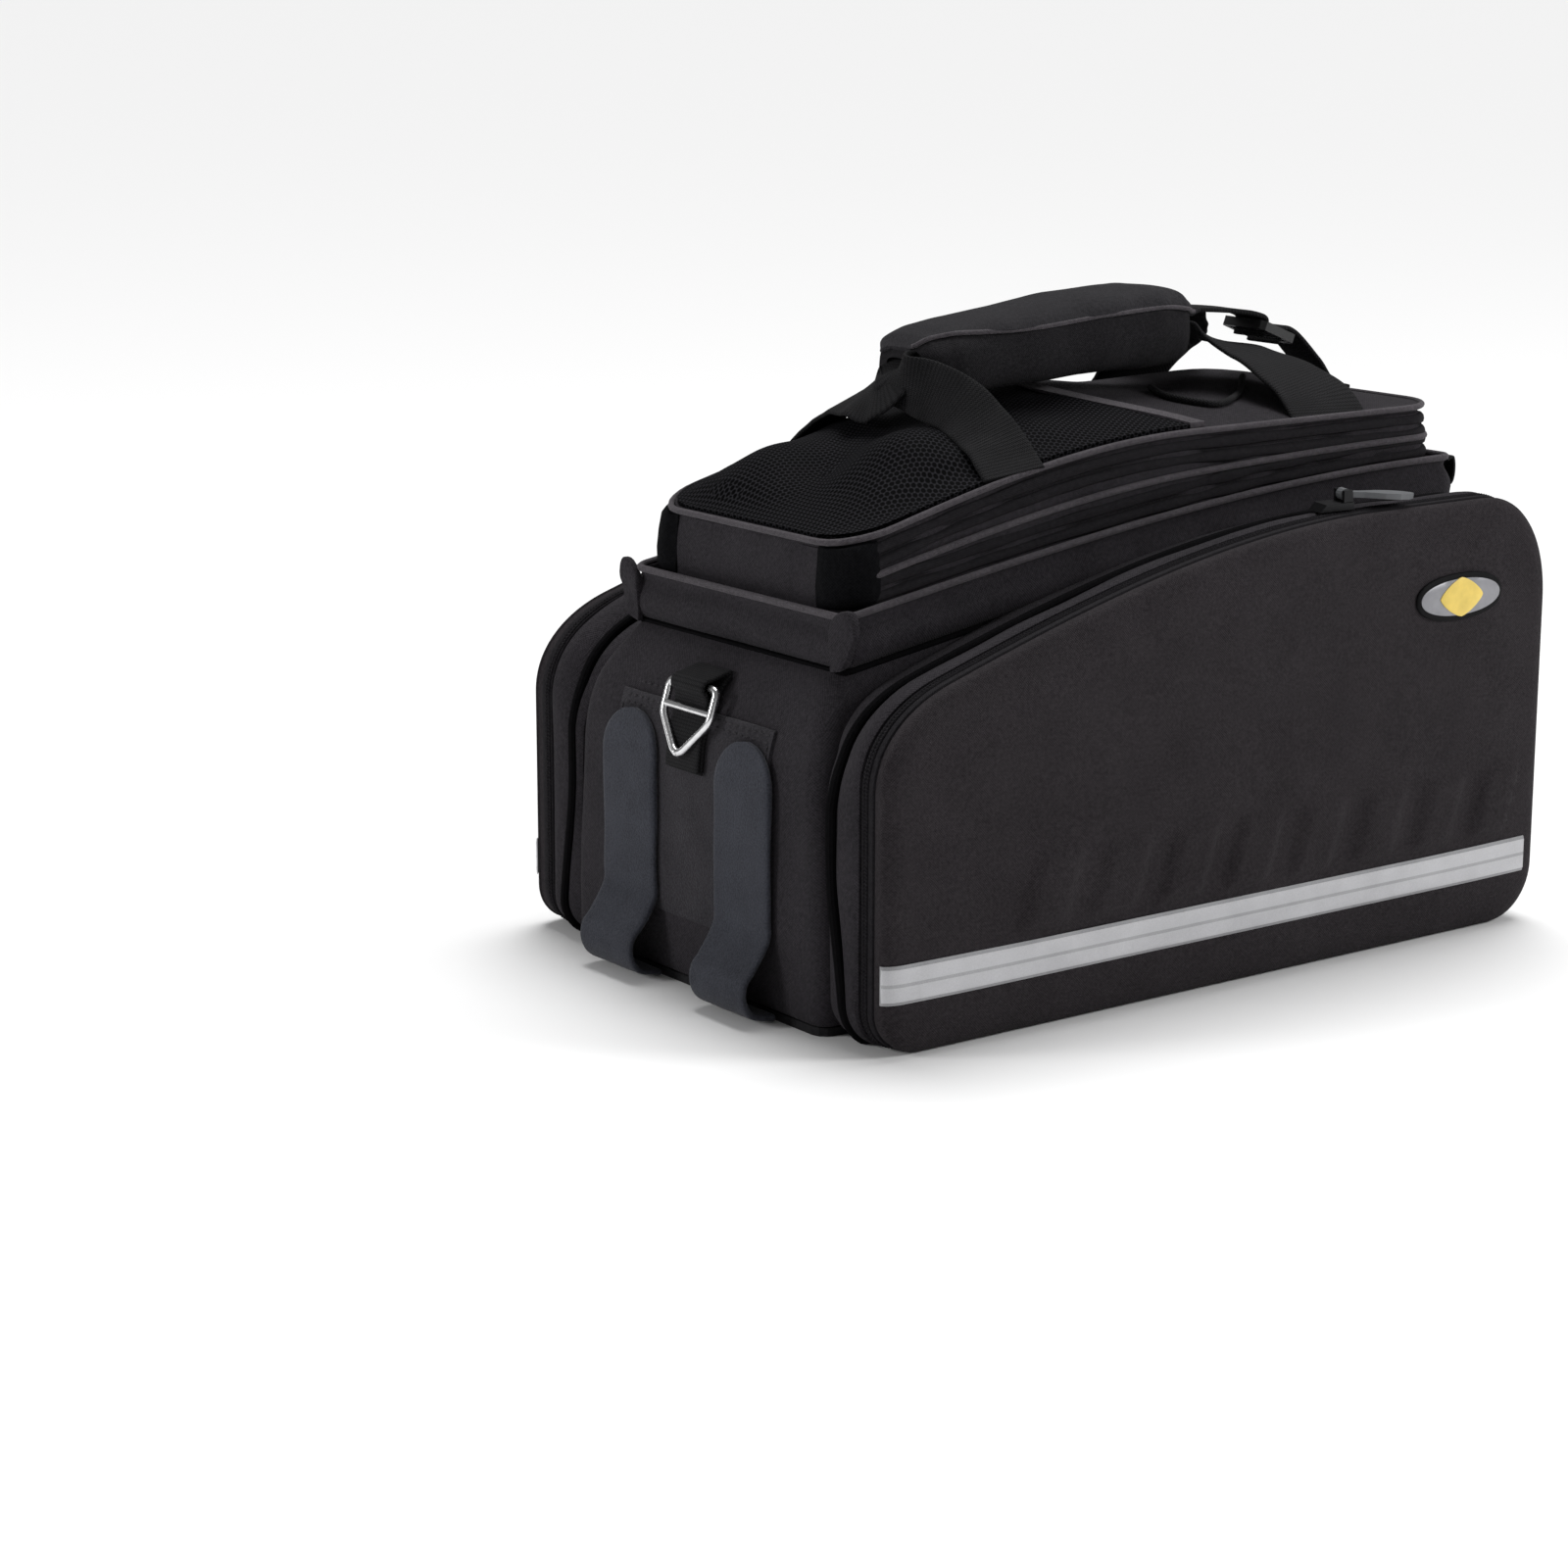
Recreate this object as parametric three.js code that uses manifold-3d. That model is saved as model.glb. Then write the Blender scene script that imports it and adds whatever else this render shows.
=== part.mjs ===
// A bicycle trunk bag: a padded main compartment between two moulded side panniers,
// with a collar, a zipped expansion band, a domed lid with a mesh pocket, and a grab handle.
// Lengths are in millimetres. The front of the bag is -X, its left side is -Y, and up is +Z.
import * as THREE from "three";
import * as BufferGeometryUtils from "three/addons/utils/BufferGeometryUtils.js";
import Module from "manifold-3d";

const wasm = await Module();
wasm.setup();

// Main compartment
const compartmentLength = 360;
const compartmentWidth = 178;
const compartmentWall = 5;
const compartmentCorner = 7;
const boardThickness = 3.5;
const boardMargin = 3;
const seamHeight = 142;
const seamRise = 35;
const frontLean = 24;
const rearLean = 4;
const sideLean = 17;

// Collar round the top of the compartment
const collarHeight = 21;
const collarFlare = 2;
const collarWall = 3;
const pipingWidth = 3;
const pipingHeight = 2.4;

// Expansion band between the collar and the lid
const bandHeight = 28;
const bandWall = 2.5;
const bandCorner = 20;
const zipWidth = 7.5;
const zipThickness = 1.8;
const zipDropFromLid = 1.2;
const zipRiseFromCollar = 3.2;
const zipEndRise = 1.5;
const zipEndHeight = 23.8;
const zipEndThickness = 1.2;

// Lid
const lidInset = 5;
const lidRearInset = 1.5;
const lidWall = 3;
const lidCorner = 22;
const lidRise = 31;
const lidRiseLength = 180;
const lidCrown = 10;
const lidEdgeSharpness = 5;
const flatPuff = 0.35;
const meshThickness = 1.5;
const meshPuff = 5;
const meshEdgeInset = 1;
const bindingWidth = 8;
const bindingThickness = 2.2;
const bindingBack = 12;
const bindingBow = 34;

// Side panniers
const pannierFrontSetback = 3;
const pannierRearReach = 6;
const pannierDepth = 37;
const archDropAtFront = 6;
const archLiftAtRear = 13;
const archLength = 260;
const archStart = 10;
const frontShoulderHeight = 104;
const rearShoulderDrop = 48;
const rearShoulderLength = 38;
const frontCornerLength = 37;
const frontFootRadius = 18;
const rearFootRadius = 25;
const gussetWidth = 6;
const gussetWall = 2.5;
const gussetPiping = 3;
const gussetSpreadHeight = 76;
const gussetDip = 1;
const shellDepth = 13;
const shellWall = 4;
const shellEdgeRadius = 10;
const shellCrown = 3;
const pannierZipWidth = 9;
const zipSink = 1.5;
const zipTeethRise = 1.2;

// Trim on the panniers
const stripeHeight = 22.5;
const stripeWidth = 15.7;
const stripeThickness = 0.8;
const badgeLength = 52;
const badgeWidth = 20;
const badgeThickness = 2;
const badgeFromRear = 58;
const badgeHeight = 150;
const sliderLength = 16;
const sliderWidth = 10;
const sliderHeight = 3;
const sliderLift = 0.6;
const sliderAt = 70;
const sliderTurn = 14;
const earLength = 4.5;
const earThickness = 1.6;
const earSpacing = 5.4;
const pinDiameter = 2;
const pinRise = 3;
const pullDroop = 7;
const pullLength = 34;
const pullWidth = 11;
const pullThickness = 2.4;
const pullRim = 1.2;
const pullNeckPlay = 0.5;

// Front panel: loop patch, rack straps and rings for a shoulder strap
const patchWidth = 106;
const patchBelowSeam = 24;
const patchBottom = 30;
const patchThickness = 1;
const rackStrapWidth = 38;
const rackStrapSpacing = 80;
const rackStrapBelowSeam = 30;
const rackStrapThickness = 2.6;
const rackTubeGap = 11;
const rackGapTop = 24;
const rackStrapLift = 1;
const ringWire = 3.5;
const ringWidth = 36;
const ringHeight = 30;
const ringBarDrop = 10;
const ringBelowSeam = 14;
const ringRestGap = 2.2;
const ringPlay = 0.5;
const ringTabPad = 4.9;
const ringTabWidth = 23;
const ringTabRise = 6;
const ringTabDrop = 35;
const webbingThickness = 2;

// Handle
const webbingWidth = 25;
const gripLength = 146;
const gripCentre = 0;
const gripWidth = 46;
const gripThickness = 26;
const gripAboveLid = 27;
const gripRise = 12;
const gripTunnelWidth = 29.5;
const gripTunnelHeight = 10;
const strapLayer = 2.8;
const strapEdgeInset = 5;
const strapSeat = 3.4;
const frontAnchorAt = -70;
const frontAnchorWidth = 28;
const rearAnchorAt = 108;
const rearAnchorWidth = 44;
const adjusterWidth = 20;
const adjusterAnchorAt = 162;
const adjusterDrift = 10;
const adjusterTail = 20;
const adjusterLead = 12;
const sewnLength = 9;
const lockLength = 22;
const lockWidth = 27;
const lockThickness = 4;
const lockBar = 3;
const lockChamfer = 2;
const lockAt = 124;
const lockAboveLid = 30;
const lockTilt = 22;

// Clearances
const fitGap = 0.3;
const clothGap = 0.6;

// Numbers of facets
const cornerFacets = 3;
const longSideFacets = 9;
const shortSideFacets = 3;
const roundFacets = 12;
const archFacets = 11;
const shoulderFacets = 6;
const uprightFacets = 4;

// Colours of the materials
const looks = {
  fabric: { color: 0x2b282b, roughness: 0.85, metalness: 0 },
  mesh: { color: 0x141315, roughness: 0.95, metalness: 0 },
  piping: { color: 0x6f6970, roughness: 0.7, metalness: 0 },
  webbing: { color: 0x1d1c1f, roughness: 0.8, metalness: 0 },
  hookLoop: { color: 0x34363c, roughness: 0.95, metalness: 0 },
  zipper: { color: 0x1a191b, roughness: 0.6, metalness: 0 },
  reflective: { color: 0xc4c6c8, roughness: 0.35, metalness: 0.2 },
  steel: { color: 0xd0d1d4, roughness: 0.2, metalness: 1 },
  pull: { color: 0x8e9196, roughness: 0.4, metalness: 0.3 },
  plastic: { color: 0x151516, roughness: 0.45, metalness: 0 },
  badge: { color: 0xd6b62a, roughness: 0.4, metalness: 0 },
};

const bag = new THREE.Group();

function addPiece(name, geometry, look) {
  const material = new THREE.MeshStandardMaterial(looks[look]);
  const mesh = new THREE.Mesh(geometry, material);
  mesh.name = name;
  bag.add(mesh);
  return mesh;
}

const mix = (from, to, share) => from + (to - from) * share;
const clamp01 = (value) => Math.min(1, Math.max(0, value));
const easeOut = (share) => Math.sin((clamp01(share) * Math.PI) / 2);
const smooth = (share) => clamp01(share) ** 2 * (3 - 2 * clamp01(share));

// Reads one column of a table at a place between its rows.
function readTable(table, key, column, at) {
  const last = table.length - 1;
  if (at <= table[0][key]) return table[0][column];
  if (at >= table[last][key]) return table[last][column];
  const row = table.findIndex((entry) => entry[key] > at) - 1;
  const share = (at - table[row][key]) / (table[row + 1][key] - table[row][key]);
  return mix(table[row][column], table[row + 1][column], share);
}

// Turns the faces of an indexed geometry outward when they point inward.
function faceOutward(geometry) {
  const at = geometry.getAttribute("position");
  const index = Array.from(geometry.getIndex().array);
  const corners = [new THREE.Vector3(), new THREE.Vector3(), new THREE.Vector3()];
  let volume = 0;
  for (let i = 0; i < index.length; i += 3) {
    corners.forEach((corner, k) => corner.fromBufferAttribute(at, index[i + k]));
    volume += corners[0].dot(corners[1].clone().cross(corners[2]));
  }
  if (volume < 0) {
    for (let i = 0; i < index.length; i += 3) {
      [index[i], index[i + 1]] = [index[i + 1], index[i]];
    }
    geometry.setIndex(index);
  }
  return geometry;
}

// Length of a diagonal, nudged by its place so that equal ones are told apart the same way.
function spanOf(points, from, to) {
  const gap = Math.hypot(...[0, 1, 2].map((k) => points[from][k] - points[to][k]));
  return gap + 1e-5 * (points[from][0] + points[to][0] + points[from][1] + points[to][1]);
}

// Joins rings of points into one closed skin. A closed profile runs back to its first ring;
// an open one is shut at both ends by a fan round the middle of its end ring.
function loft(rings, closedProfile) {
  const count = rings[0].length;
  const points = rings.flat();
  const index = [];
  const bands = closedProfile ? rings.length : rings.length - 1;
  for (let band = 0; band < bands; band += 1) {
    const next = (band + 1) % rings.length;
    for (let i = 0; i < count; i += 1) {
      const j = (i + 1) % count;
      const [a, b] = [band * count + i, band * count + j];
      const [c, d] = [next * count + j, next * count + i];
      const firstIsShorter = spanOf(points, a, c) < spanOf(points, b, d);
      index.push(...(firstIsShorter ? [a, b, c, a, c, d] : [a, b, d, b, c, d]));
    }
  }
  if (!closedProfile) {
    [0, rings.length - 1].forEach((end) => {
      const middle = [0, 1, 2].map((k) => rings[end].reduce((sum, p) => sum + p[k], 0) / count);
      const tip = points.push(middle) - 1;
      for (let i = 0; i < count; i += 1) {
        const [a, b] = [end * count + i, end * count + ((i + 1) % count)];
        index.push(...(end === 0 ? [tip, b, a] : [tip, a, b]));
      }
    });
  }
  const geometry = new THREE.BufferGeometry();
  geometry.setAttribute("position", new THREE.Float32BufferAttribute(points.flat(), 3));
  geometry.setIndex(index);
  return faceOutward(geometry);
}

function mirrored(geometry) {
  const copy = geometry.clone();
  copy.scale(1, -1, 1);
  return faceOutward(copy);
}

// A copy that keeps only the places of the points and the faces between them
function bare(geometry) {
  const copy = geometry.clone();
  copy.deleteAttribute("normal");
  copy.deleteAttribute("uv");
  return copy;
}

function toSolid(geometry) {
  const merged = BufferGeometryUtils.mergeVertices(bare(geometry), 1e-4);
  return new wasm.Manifold(
    new wasm.Mesh({
      numProp: 3,
      vertProperties: Float32Array.from(merged.getAttribute("position").array),
      triVerts: Uint32Array.from(merged.getIndex().array),
    }),
  );
}

function toGeometry(solid) {
  const mesh = solid.getMesh();
  const geometry = new THREE.BufferGeometry();
  geometry.setAttribute("position", new THREE.BufferAttribute(mesh.vertProperties, 3));
  geometry.setIndex(new THREE.BufferAttribute(mesh.triVerts, 1));
  return geometry;
}

// Extrudes an outline drawn in length and height along the width of the bag, about its middle.
function extrudeAcross(outline, width) {
  const geometry = new THREE.ExtrudeGeometry(outline, {
    depth: width,
    bevelEnabled: false,
    curveSegments: roundFacets / 2,
  });
  geometry.rotateX(Math.PI / 2);
  geometry.translate(0, width / 2, 0);
  return geometry;
}

function outlineThrough(points) {
  return new THREE.Shape(points.map(([a, b]) => new THREE.Vector2(a, b)));
}

// A rounded rectangle seen from above, with the same number of points whatever its size.
function planLoop(front, rear, half, radius) {
  const points = [];
  const corners = [
    { x: front + radius, y: -half + radius, turn: Math.PI, side: longSideFacets },
    { x: rear - radius, y: -half + radius, turn: 1.5 * Math.PI, side: shortSideFacets },
    { x: rear - radius, y: half - radius, turn: 0, side: longSideFacets },
    { x: front + radius, y: half - radius, turn: 0.5 * Math.PI, side: shortSideFacets },
  ];
  corners.forEach((corner, number) => {
    for (let i = 0; i <= cornerFacets; i += 1) {
      const angle = corner.turn + ((Math.PI / 2) * i) / cornerFacets;
      points.push([corner.x + radius * Math.cos(angle), corner.y + radius * Math.sin(angle)]);
    }
    const from = points[points.length - 1];
    const next = corners[(number + 1) % corners.length];
    const to = [next.x + radius * Math.cos(next.turn), next.y + radius * Math.sin(next.turn)];
    for (let i = 1; i < corner.side; i += 1) {
      points.push([mix(from[0], to[0], i / corner.side), mix(from[1], to[1], i / corner.side)]);
    }
  });
  return points;
}

// Places shared by the pieces
const bodyFront = -compartmentLength / 2;
const bodyRear = compartmentLength / 2;
const bodyHalf = compartmentWidth / 2;
const floorTop = boardThickness + fitGap;
const seamFront = bodyFront + frontLean;
const seamRear = bodyRear - rearLean;
const seamHalf = bodyHalf - sideLean;
const smallestCorner = 1.5;

const seamAt = (x) => seamHeight + seamRise * easeOut((x - seamFront) / (seamRear - seamFront));
const rimAt = (x) => seamAt(x) + collarHeight;
const lidFront = seamFront + lidInset;
const lidRear = seamRear - lidRearInset;
const lidHalf = seamHalf - lidInset;
const lidMiddle = (lidFront + lidRear) / 2;
const lidEdgeAt = (x) =>
  seamHeight + collarHeight + bandHeight + lidRise * easeOut((x - lidFront) / lidRiseLength);

const gripHeight = lidEdgeAt(lidRear) + gripAboveLid;
const lockHeight = lidEdgeAt(lidRear) + lockAboveLid;

// The compartment's walls: each row is a height, as a share of the seam's, with how far the
// ends lean in and the sides narrow there, as shares of the leans named above. The lining
// bends only at the rows that are marked for it.
const wallRows = [
  { height: 0, lean: 0, narrow: 0, lining: true },
  { height: 0.34, lean: 0, narrow: 0.08, lining: false },
  { height: 0.67, lean: 0.01, narrow: 0.22, lining: true },
  { height: 0.8, lean: 0.13, narrow: 0.37, lining: true },
  { height: 0.9, lean: 0.42, narrow: 0.62, lining: false },
  { height: 1, lean: 1, narrow: 1, lining: true },
];

const wallShare = (x, z) => clamp01((z - floorTop) / (seamAt(x) - floorTop));
const leanAt = (x, z) => readTable(wallRows, "height", "lean", wallShare(x, z));

// The two end panels, as how far out they lie at a height and where their folds run, with the
// thickness of what lies between the panel and the tab of its ring
const frontPanel = {
  side: -1,
  underTab: fitGap + patchThickness,
  outAt: (z) => -bodyFront - frontLean * leanAt(seamFront, z),
  foldAt: (row) => mix(floorTop, seamAt(seamFront), row.height),
};
const rearPanel = {
  side: 1,
  underTab: 0,
  outAt: (z) => bodyRear - rearLean * leanAt(seamRear, z),
  foldAt: (row) => mix(floorTop, seamAt(seamRear), row.height),
};

// Heights on a panel from one place to another, with each fold that lies between them
function heightsOn(panel, from, to) {
  const folds = wallRows.map(panel.foldAt).filter((z) => z > from + 1 && z < to - 1);
  return [from, ...folds, to];
}

// Puts a geometry that was drawn at the rear end of the bag at the end where its panel is
function onPanel(panel, geometry) {
  if (panel.side === 1) return geometry;
  const copy = BufferGeometryUtils.mergeVertices(bare(geometry));
  copy.scale(-1, 1, 1);
  return faceOutward(copy);
}

// Half the width of the compartment and collar at a place along the bag and a height.
function bodyHalfAt(x, z) {
  if (z > seamAt(x)) return seamHalf + collarFlare * clamp01((z - seamAt(x)) / collarHeight);
  return bodyHalf - sideLean * readTable(wallRows, "height", "narrow", wallShare(x, z));
}

// Board that stiffens the bottom of the bag
function makeBaseBoard() {
  const loop = planLoop(
    bodyFront + boardMargin,
    bodyRear - boardMargin,
    bodyHalf - boardMargin,
    compartmentCorner,
  );
  const rings = [0, boardThickness].map((z) => loop.map(([x, y]) => [x, y, z]));
  return loft(rings, false);
}

// Padded tub of the main compartment, open at the top
function makeCompartment() {
  const wallRing = (row, inset, floor) => {
    const loop = planLoop(
      bodyFront + frontLean * row.lean + inset,
      bodyRear - rearLean * row.lean - inset,
      bodyHalf - sideLean * row.narrow - inset,
      Math.max(compartmentCorner - inset, smallestCorner),
    );
    return loop.map(([x, y]) => [x, y, mix(floor, seamAt(x), row.height)]);
  };
  const outside = wallRows.map((row) => wallRing(row, 0, floorTop));
  const inside = wallRows
    .filter((row) => row.lining)
    .map((row) => wallRing(row, compartmentWall, floorTop + compartmentWall));
  return loft([...outside, ...inside.reverse()], false);
}

// The seam's outline, grown by an offset
function seamLoop(offset, radius) {
  const corner = Math.max(radius + offset, smallestCorner);
  return planLoop(seamFront - offset, seamRear + offset, seamHalf + offset, corner);
}

// A band that stands round the top of the bag: rows give the offset of its face from the
// seam's outline, positive outward, and its height above the seam.
function makeBand(rows, radius) {
  const rings = rows.map(({ offset, height }) =>
    seamLoop(offset, radius).map(([x, y]) => [x, y, height(x)]),
  );
  return loft(rings, true);
}

function makeCollar() {
  return makeBand(
    [
      { offset: 0, height: (x) => seamAt(x) + fitGap },
      { offset: collarFlare * 0.35, height: (x) => mix(seamAt(x), rimAt(x), 0.5) },
      { offset: collarFlare, height: rimAt },
      { offset: collarFlare - collarWall, height: rimAt },
      { offset: -collarWall, height: (x) => seamAt(x) + fitGap },
    ],
    compartmentCorner,
  );
}

function makeCollarPiping() {
  const foot = collarFlare - collarWall / 2;
  const half = pipingWidth / 2;
  return makeBand(
    [
      { offset: foot - half, height: (x) => rimAt(x) + fitGap },
      { offset: foot - half * 0.6, height: (x) => rimAt(x) + fitGap + pipingHeight },
      { offset: foot + half * 0.6, height: (x) => rimAt(x) + fitGap + pipingHeight },
      { offset: foot + half, height: (x) => rimAt(x) + fitGap },
    ],
    compartmentCorner,
  );
}

// The expansion band leans in from the collar to the lid.
const bandFoot = -collarWall - clothGap;
const bandTop = -lidInset - fitGap;
const bandTopAt = (x) => lidEdgeAt(x) - lidWall - fitGap;
function bandOffsetAt(x, z) {
  return mix(bandFoot, bandTop, clamp01((z - rimAt(x)) / (bandTopAt(x) - rimAt(x))));
}

function makeExpansionBand() {
  return makeBand(
    [
      { offset: bandFoot, height: (x) => seamAt(x) + clothGap },
      { offset: bandFoot, height: rimAt },
      { offset: bandTop, height: bandTopAt },
      { offset: bandTop - bandWall, height: bandTopAt },
      { offset: bandFoot - bandWall, height: rimAt },
      { offset: bandFoot - bandWall, height: (x) => seamAt(x) + clothGap },
    ],
    bandCorner,
  );
}

// A point outside the band's face, over one point of its outline
function onBand(number, lowAt, rise, out) {
  const x = seamLoop(0, bandCorner)[number][0];
  const z = lowAt(x) + rise;
  const place = seamLoop(bandOffsetAt(x, z) + fitGap + out, bandCorner)[number];
  return [place[0], place[1], z];
}

// A zip along both sides and the rear of the band, from one front corner to the other.
function makeBandZip(lowAt) {
  const section = [
    { out: 0, up: 0 },
    { out: 0.8, up: 0.12 },
    { out: 0.8, up: 0.88 },
    { out: 0, up: 1 },
  ];
  const first = cornerFacets;
  const last = seamLoop(0, bandCorner).length - shortSideFacets - cornerFacets;
  const rings = [];
  for (let i = first; i <= last; i += 1) {
    rings.push(section.map(({ out, up }) => onBand(i, lowAt, zipWidth * up, zipThickness * out)));
  }
  return loft(rings, false);
}

// Height of the lid's cloth at a place on it. The lobes are soft rises: each has its middle, as
// shares of the lid's length and half width, its height as a share of the puff, and its spread.
const lobes = [
  { along: 0.2, across: -0.28, height: 1, spread: 0.3 },
  { along: 0.27, across: 0.42, height: 0.85, spread: 0.27 },
  { along: 0.44, across: -0.1, height: 0.55, spread: 0.25 },
];
function lidTopAt(x, y) {
  const alongShare = Math.abs(x - lidMiddle) / ((lidRear - lidFront) / 2);
  const acrossShare = Math.abs(y) / lidHalf;
  const power = lidEdgeSharpness;
  const inward = clamp01(1 - (alongShare ** power + acrossShare ** power) ** (1 / power));
  let puff = 0;
  lobes.forEach((lobe) => {
    const dx = (x - mix(lidFront, lidRear, lobe.along)) / (2 * lidHalf);
    const dy = y / (2 * lidHalf) - lobe.across / 2;
    puff += lobe.height * Math.exp(-(dx * dx + dy * dy) / lobe.spread ** 2);
  });
  const rise = 1 - (1 - inward) ** 3;
  return lidEdgeAt(x) + rise * (lidCrown + meshPuff * (puff - flatPuff));
}

// A sheet over the lid between two heights above its surface
const lidShares = [0, 0.07, 0.2, 0.4, 0.62, 0.82];
const undersideShares = [0, 0.2, 0.62];
function lidSheet(low, high, underShares) {
  const edge = planLoop(lidFront, lidRear, lidHalf, lidCorner);
  const ringAt = (share, rise) =>
    edge.map(([x, y]) => {
      const [px, py] = [mix(x, lidMiddle, share), y * (1 - share)];
      return [px, py, lidTopAt(px, py) + rise];
    });
  const over = lidShares.map((share) => ringAt(share, high));
  const under = underShares.map((share) => ringAt(share, low));
  return loft([...over.reverse(), ...under], false);
}

const bindingAt = (y) => lidMiddle - bindingBack + bindingBow * (y / lidHalf) ** 2;

// The area of the lid from one line across it to another, as an upright prism
function lidZone(frontLine, rearLine) {
  const steps = 10;
  const rows = Array.from({ length: steps + 1 }, (_, i) => mix(-1, 1, i / steps) * seamHalf);
  const outline = [
    ...rows.map((y) => [frontLine(y), y]),
    ...rows.reverse().map((y) => [rearLine(y), y]),
  ];
  const inside = planLoop(
    lidFront + meshEdgeInset,
    lidRear - meshEdgeInset,
    lidHalf - meshEdgeInset,
    lidCorner - meshEdgeInset,
  );
  const upright = (points) =>
    toSolid(
      new THREE.ExtrudeGeometry(outlineThrough(points), {
        depth: lidEdgeAt(lidRear) + 4 * lidCrown,
        bevelEnabled: false,
      }),
    );
  return upright(outline).intersect(upright(inside));
}

function makeMeshPocket() {
  const sheet = toSolid(lidSheet(fitGap, fitGap + meshThickness, lidShares));
  const frontLine = () => lidFront - lidInset;
  const rearLine = (y) => bindingAt(y) - bindingWidth / 2 - fitGap;
  return toGeometry(sheet.intersect(lidZone(frontLine, rearLine)));
}

function makeMeshBinding() {
  const sheet = toSolid(lidSheet(fitGap, fitGap + bindingThickness, lidShares));
  const frontLine = (y) => bindingAt(y) - bindingWidth / 2;
  const rearLine = (y) => bindingAt(y) + bindingWidth / 2;
  return toGeometry(sheet.intersect(lidZone(frontLine, rearLine)));
}

function makeLidPiping() {
  const edge = (offset) =>
    planLoop(lidFront - offset, lidRear + offset, lidHalf + offset, lidCorner + offset);
  const section = [
    { out: 0, up: -0.8 },
    { out: 0, up: 0.5 },
    { out: 0.9, up: 0.4 },
    { out: 0.9, up: -0.6 },
  ];
  const rings = section.map(({ out, up }) =>
    edge(fitGap + pipingWidth * out).map(([x, y]) => [x, y, lidEdgeAt(x) + pipingHeight * up]),
  );
  return loft(rings, true);
}

// Side view of a pannier, as points with their outward normals
const pannierFront = bodyFront + pannierFrontSetback;
const pannierRear = bodyRear + pannierRearReach;
const archLow = seamHeight - archDropAtFront;
const archHigh = seamHeight + seamRise + archLiftAtRear;
const archAt = (x) =>
  mix(archLow, archHigh, easeOut((x - pannierFront - archStart) / archLength));

// The curves at the ends of the arch: each row is a guide point, as shares of the way along the
// corner and up it.
const frontCorner = [
  { along: 0, up: 0 },
  { along: 0, up: 0.5 },
  { along: 0.45, up: 0.84 },
  { along: 1, up: 1 },
];
const rearCorner = [
  { along: 0, up: 1 },
  { along: 0.55, up: 1.005 },
  { along: 1, up: 0.62 },
  { along: 1, up: 0 },
];

function pannierOutline() {
  const path = [];
  const curve = (guides, from, to, low, high, steps) => {
    const points = guides.map(
      ({ along, up }) => new THREE.Vector2(mix(from, to, along), mix(low, high, up)),
    );
    const bezier = new THREE.CubicBezierCurve(...points);
    for (let i = 0; i < steps; i += 1) path.push(bezier.getPoint(i / steps).toArray());
  };
  const foot = (x, radius, from) => {
    for (let i = 0; i < cornerFacets; i += 1) {
      const angle = from - ((Math.PI / 2) * i) / cornerFacets;
      path.push([x + radius * Math.cos(angle), radius + radius * Math.sin(angle)]);
    }
  };
  const line = (from, to, steps) => {
    for (let i = 0; i < steps; i += 1) {
      path.push([mix(from[0], to[0], i / steps), mix(from[1], to[1], i / steps)]);
    }
  };
  const archFrom = pannierFront + frontCornerLength;
  const archTo = pannierRear - rearShoulderLength;
  const rearShoulder = archHigh - rearShoulderDrop;
  const [low, high] = [frontShoulderHeight, archAt(archFrom)];
  foot(pannierFront + frontFootRadius, frontFootRadius, 1.5 * Math.PI);
  line([pannierFront, frontFootRadius], [pannierFront, low], uprightFacets);
  curve(frontCorner, pannierFront, archFrom, low, high, shoulderFacets);
  for (let i = 0; i < archFacets; i += 1) {
    const x = mix(archFrom, archTo, i / archFacets);
    path.push([x, archAt(x)]);
  }
  curve(rearCorner, archTo, pannierRear, rearShoulder, archAt(archTo), shoulderFacets);
  line([pannierRear, rearShoulder], [pannierRear, rearFootRadius], uprightFacets);
  foot(pannierRear - rearFootRadius, rearFootRadius, 2 * Math.PI);
  line([pannierRear - rearFootRadius, 0], [pannierFront + frontFootRadius, 0], uprightFacets);
  return path.map(([x, z], i) => {
    const before = path[(i + path.length - 1) % path.length];
    const after = path[(i + 1) % path.length];
    const size = Math.hypot(after[0] - before[0], after[1] - before[1]);
    return { x, z, nx: -(after[1] - before[1]) / size, nz: (after[0] - before[0]) / size };
  });
}

const outline = pannierOutline();
const shellFace = bodyHalf + pannierDepth;
const shellRim = shellFace - shellDepth;
const zipInner = shellRim - fitGap - pannierZipWidth;

function pannierRing(inset, across) {
  return outline.map((p) => {
    const [x, z] = [p.x - p.nx * inset, p.z - p.nz * inset];
    return [x, -across(x, z), Math.max(z, 0)];
  });
}

// The piping runs close to the compartment and spreads out to the zip towards the bottom.
function pipingAcross(x, z) {
  const spread = smooth(1 - z / gussetSpreadHeight);
  return mix(bodyHalf + gussetWidth, zipInner - fitGap - gussetPiping, spread);
}

function makeGusset() {
  const inner = (x, z) => bodyHalfAt(x, z) + clothGap;
  const beside = (step) => (x, z) => pipingAcross(x, z) + step;
  const outer = () => zipInner - fitGap;
  return loft(
    [
      pannierRing(gussetDip, inner),
      pannierRing(-gussetDip, beside(-gussetPiping)),
      pannierRing(-gussetDip - gussetPiping / 2, beside(-gussetPiping / 2)),
      pannierRing(-gussetDip, beside(0)),
      pannierRing(gussetDip, outer),
      pannierRing(gussetDip + gussetWall, outer),
      pannierRing(gussetWall - gussetDip, beside(-gussetPiping / 2)),
      pannierRing(gussetDip + gussetWall, inner),
    ],
    true,
  );
}

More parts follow.
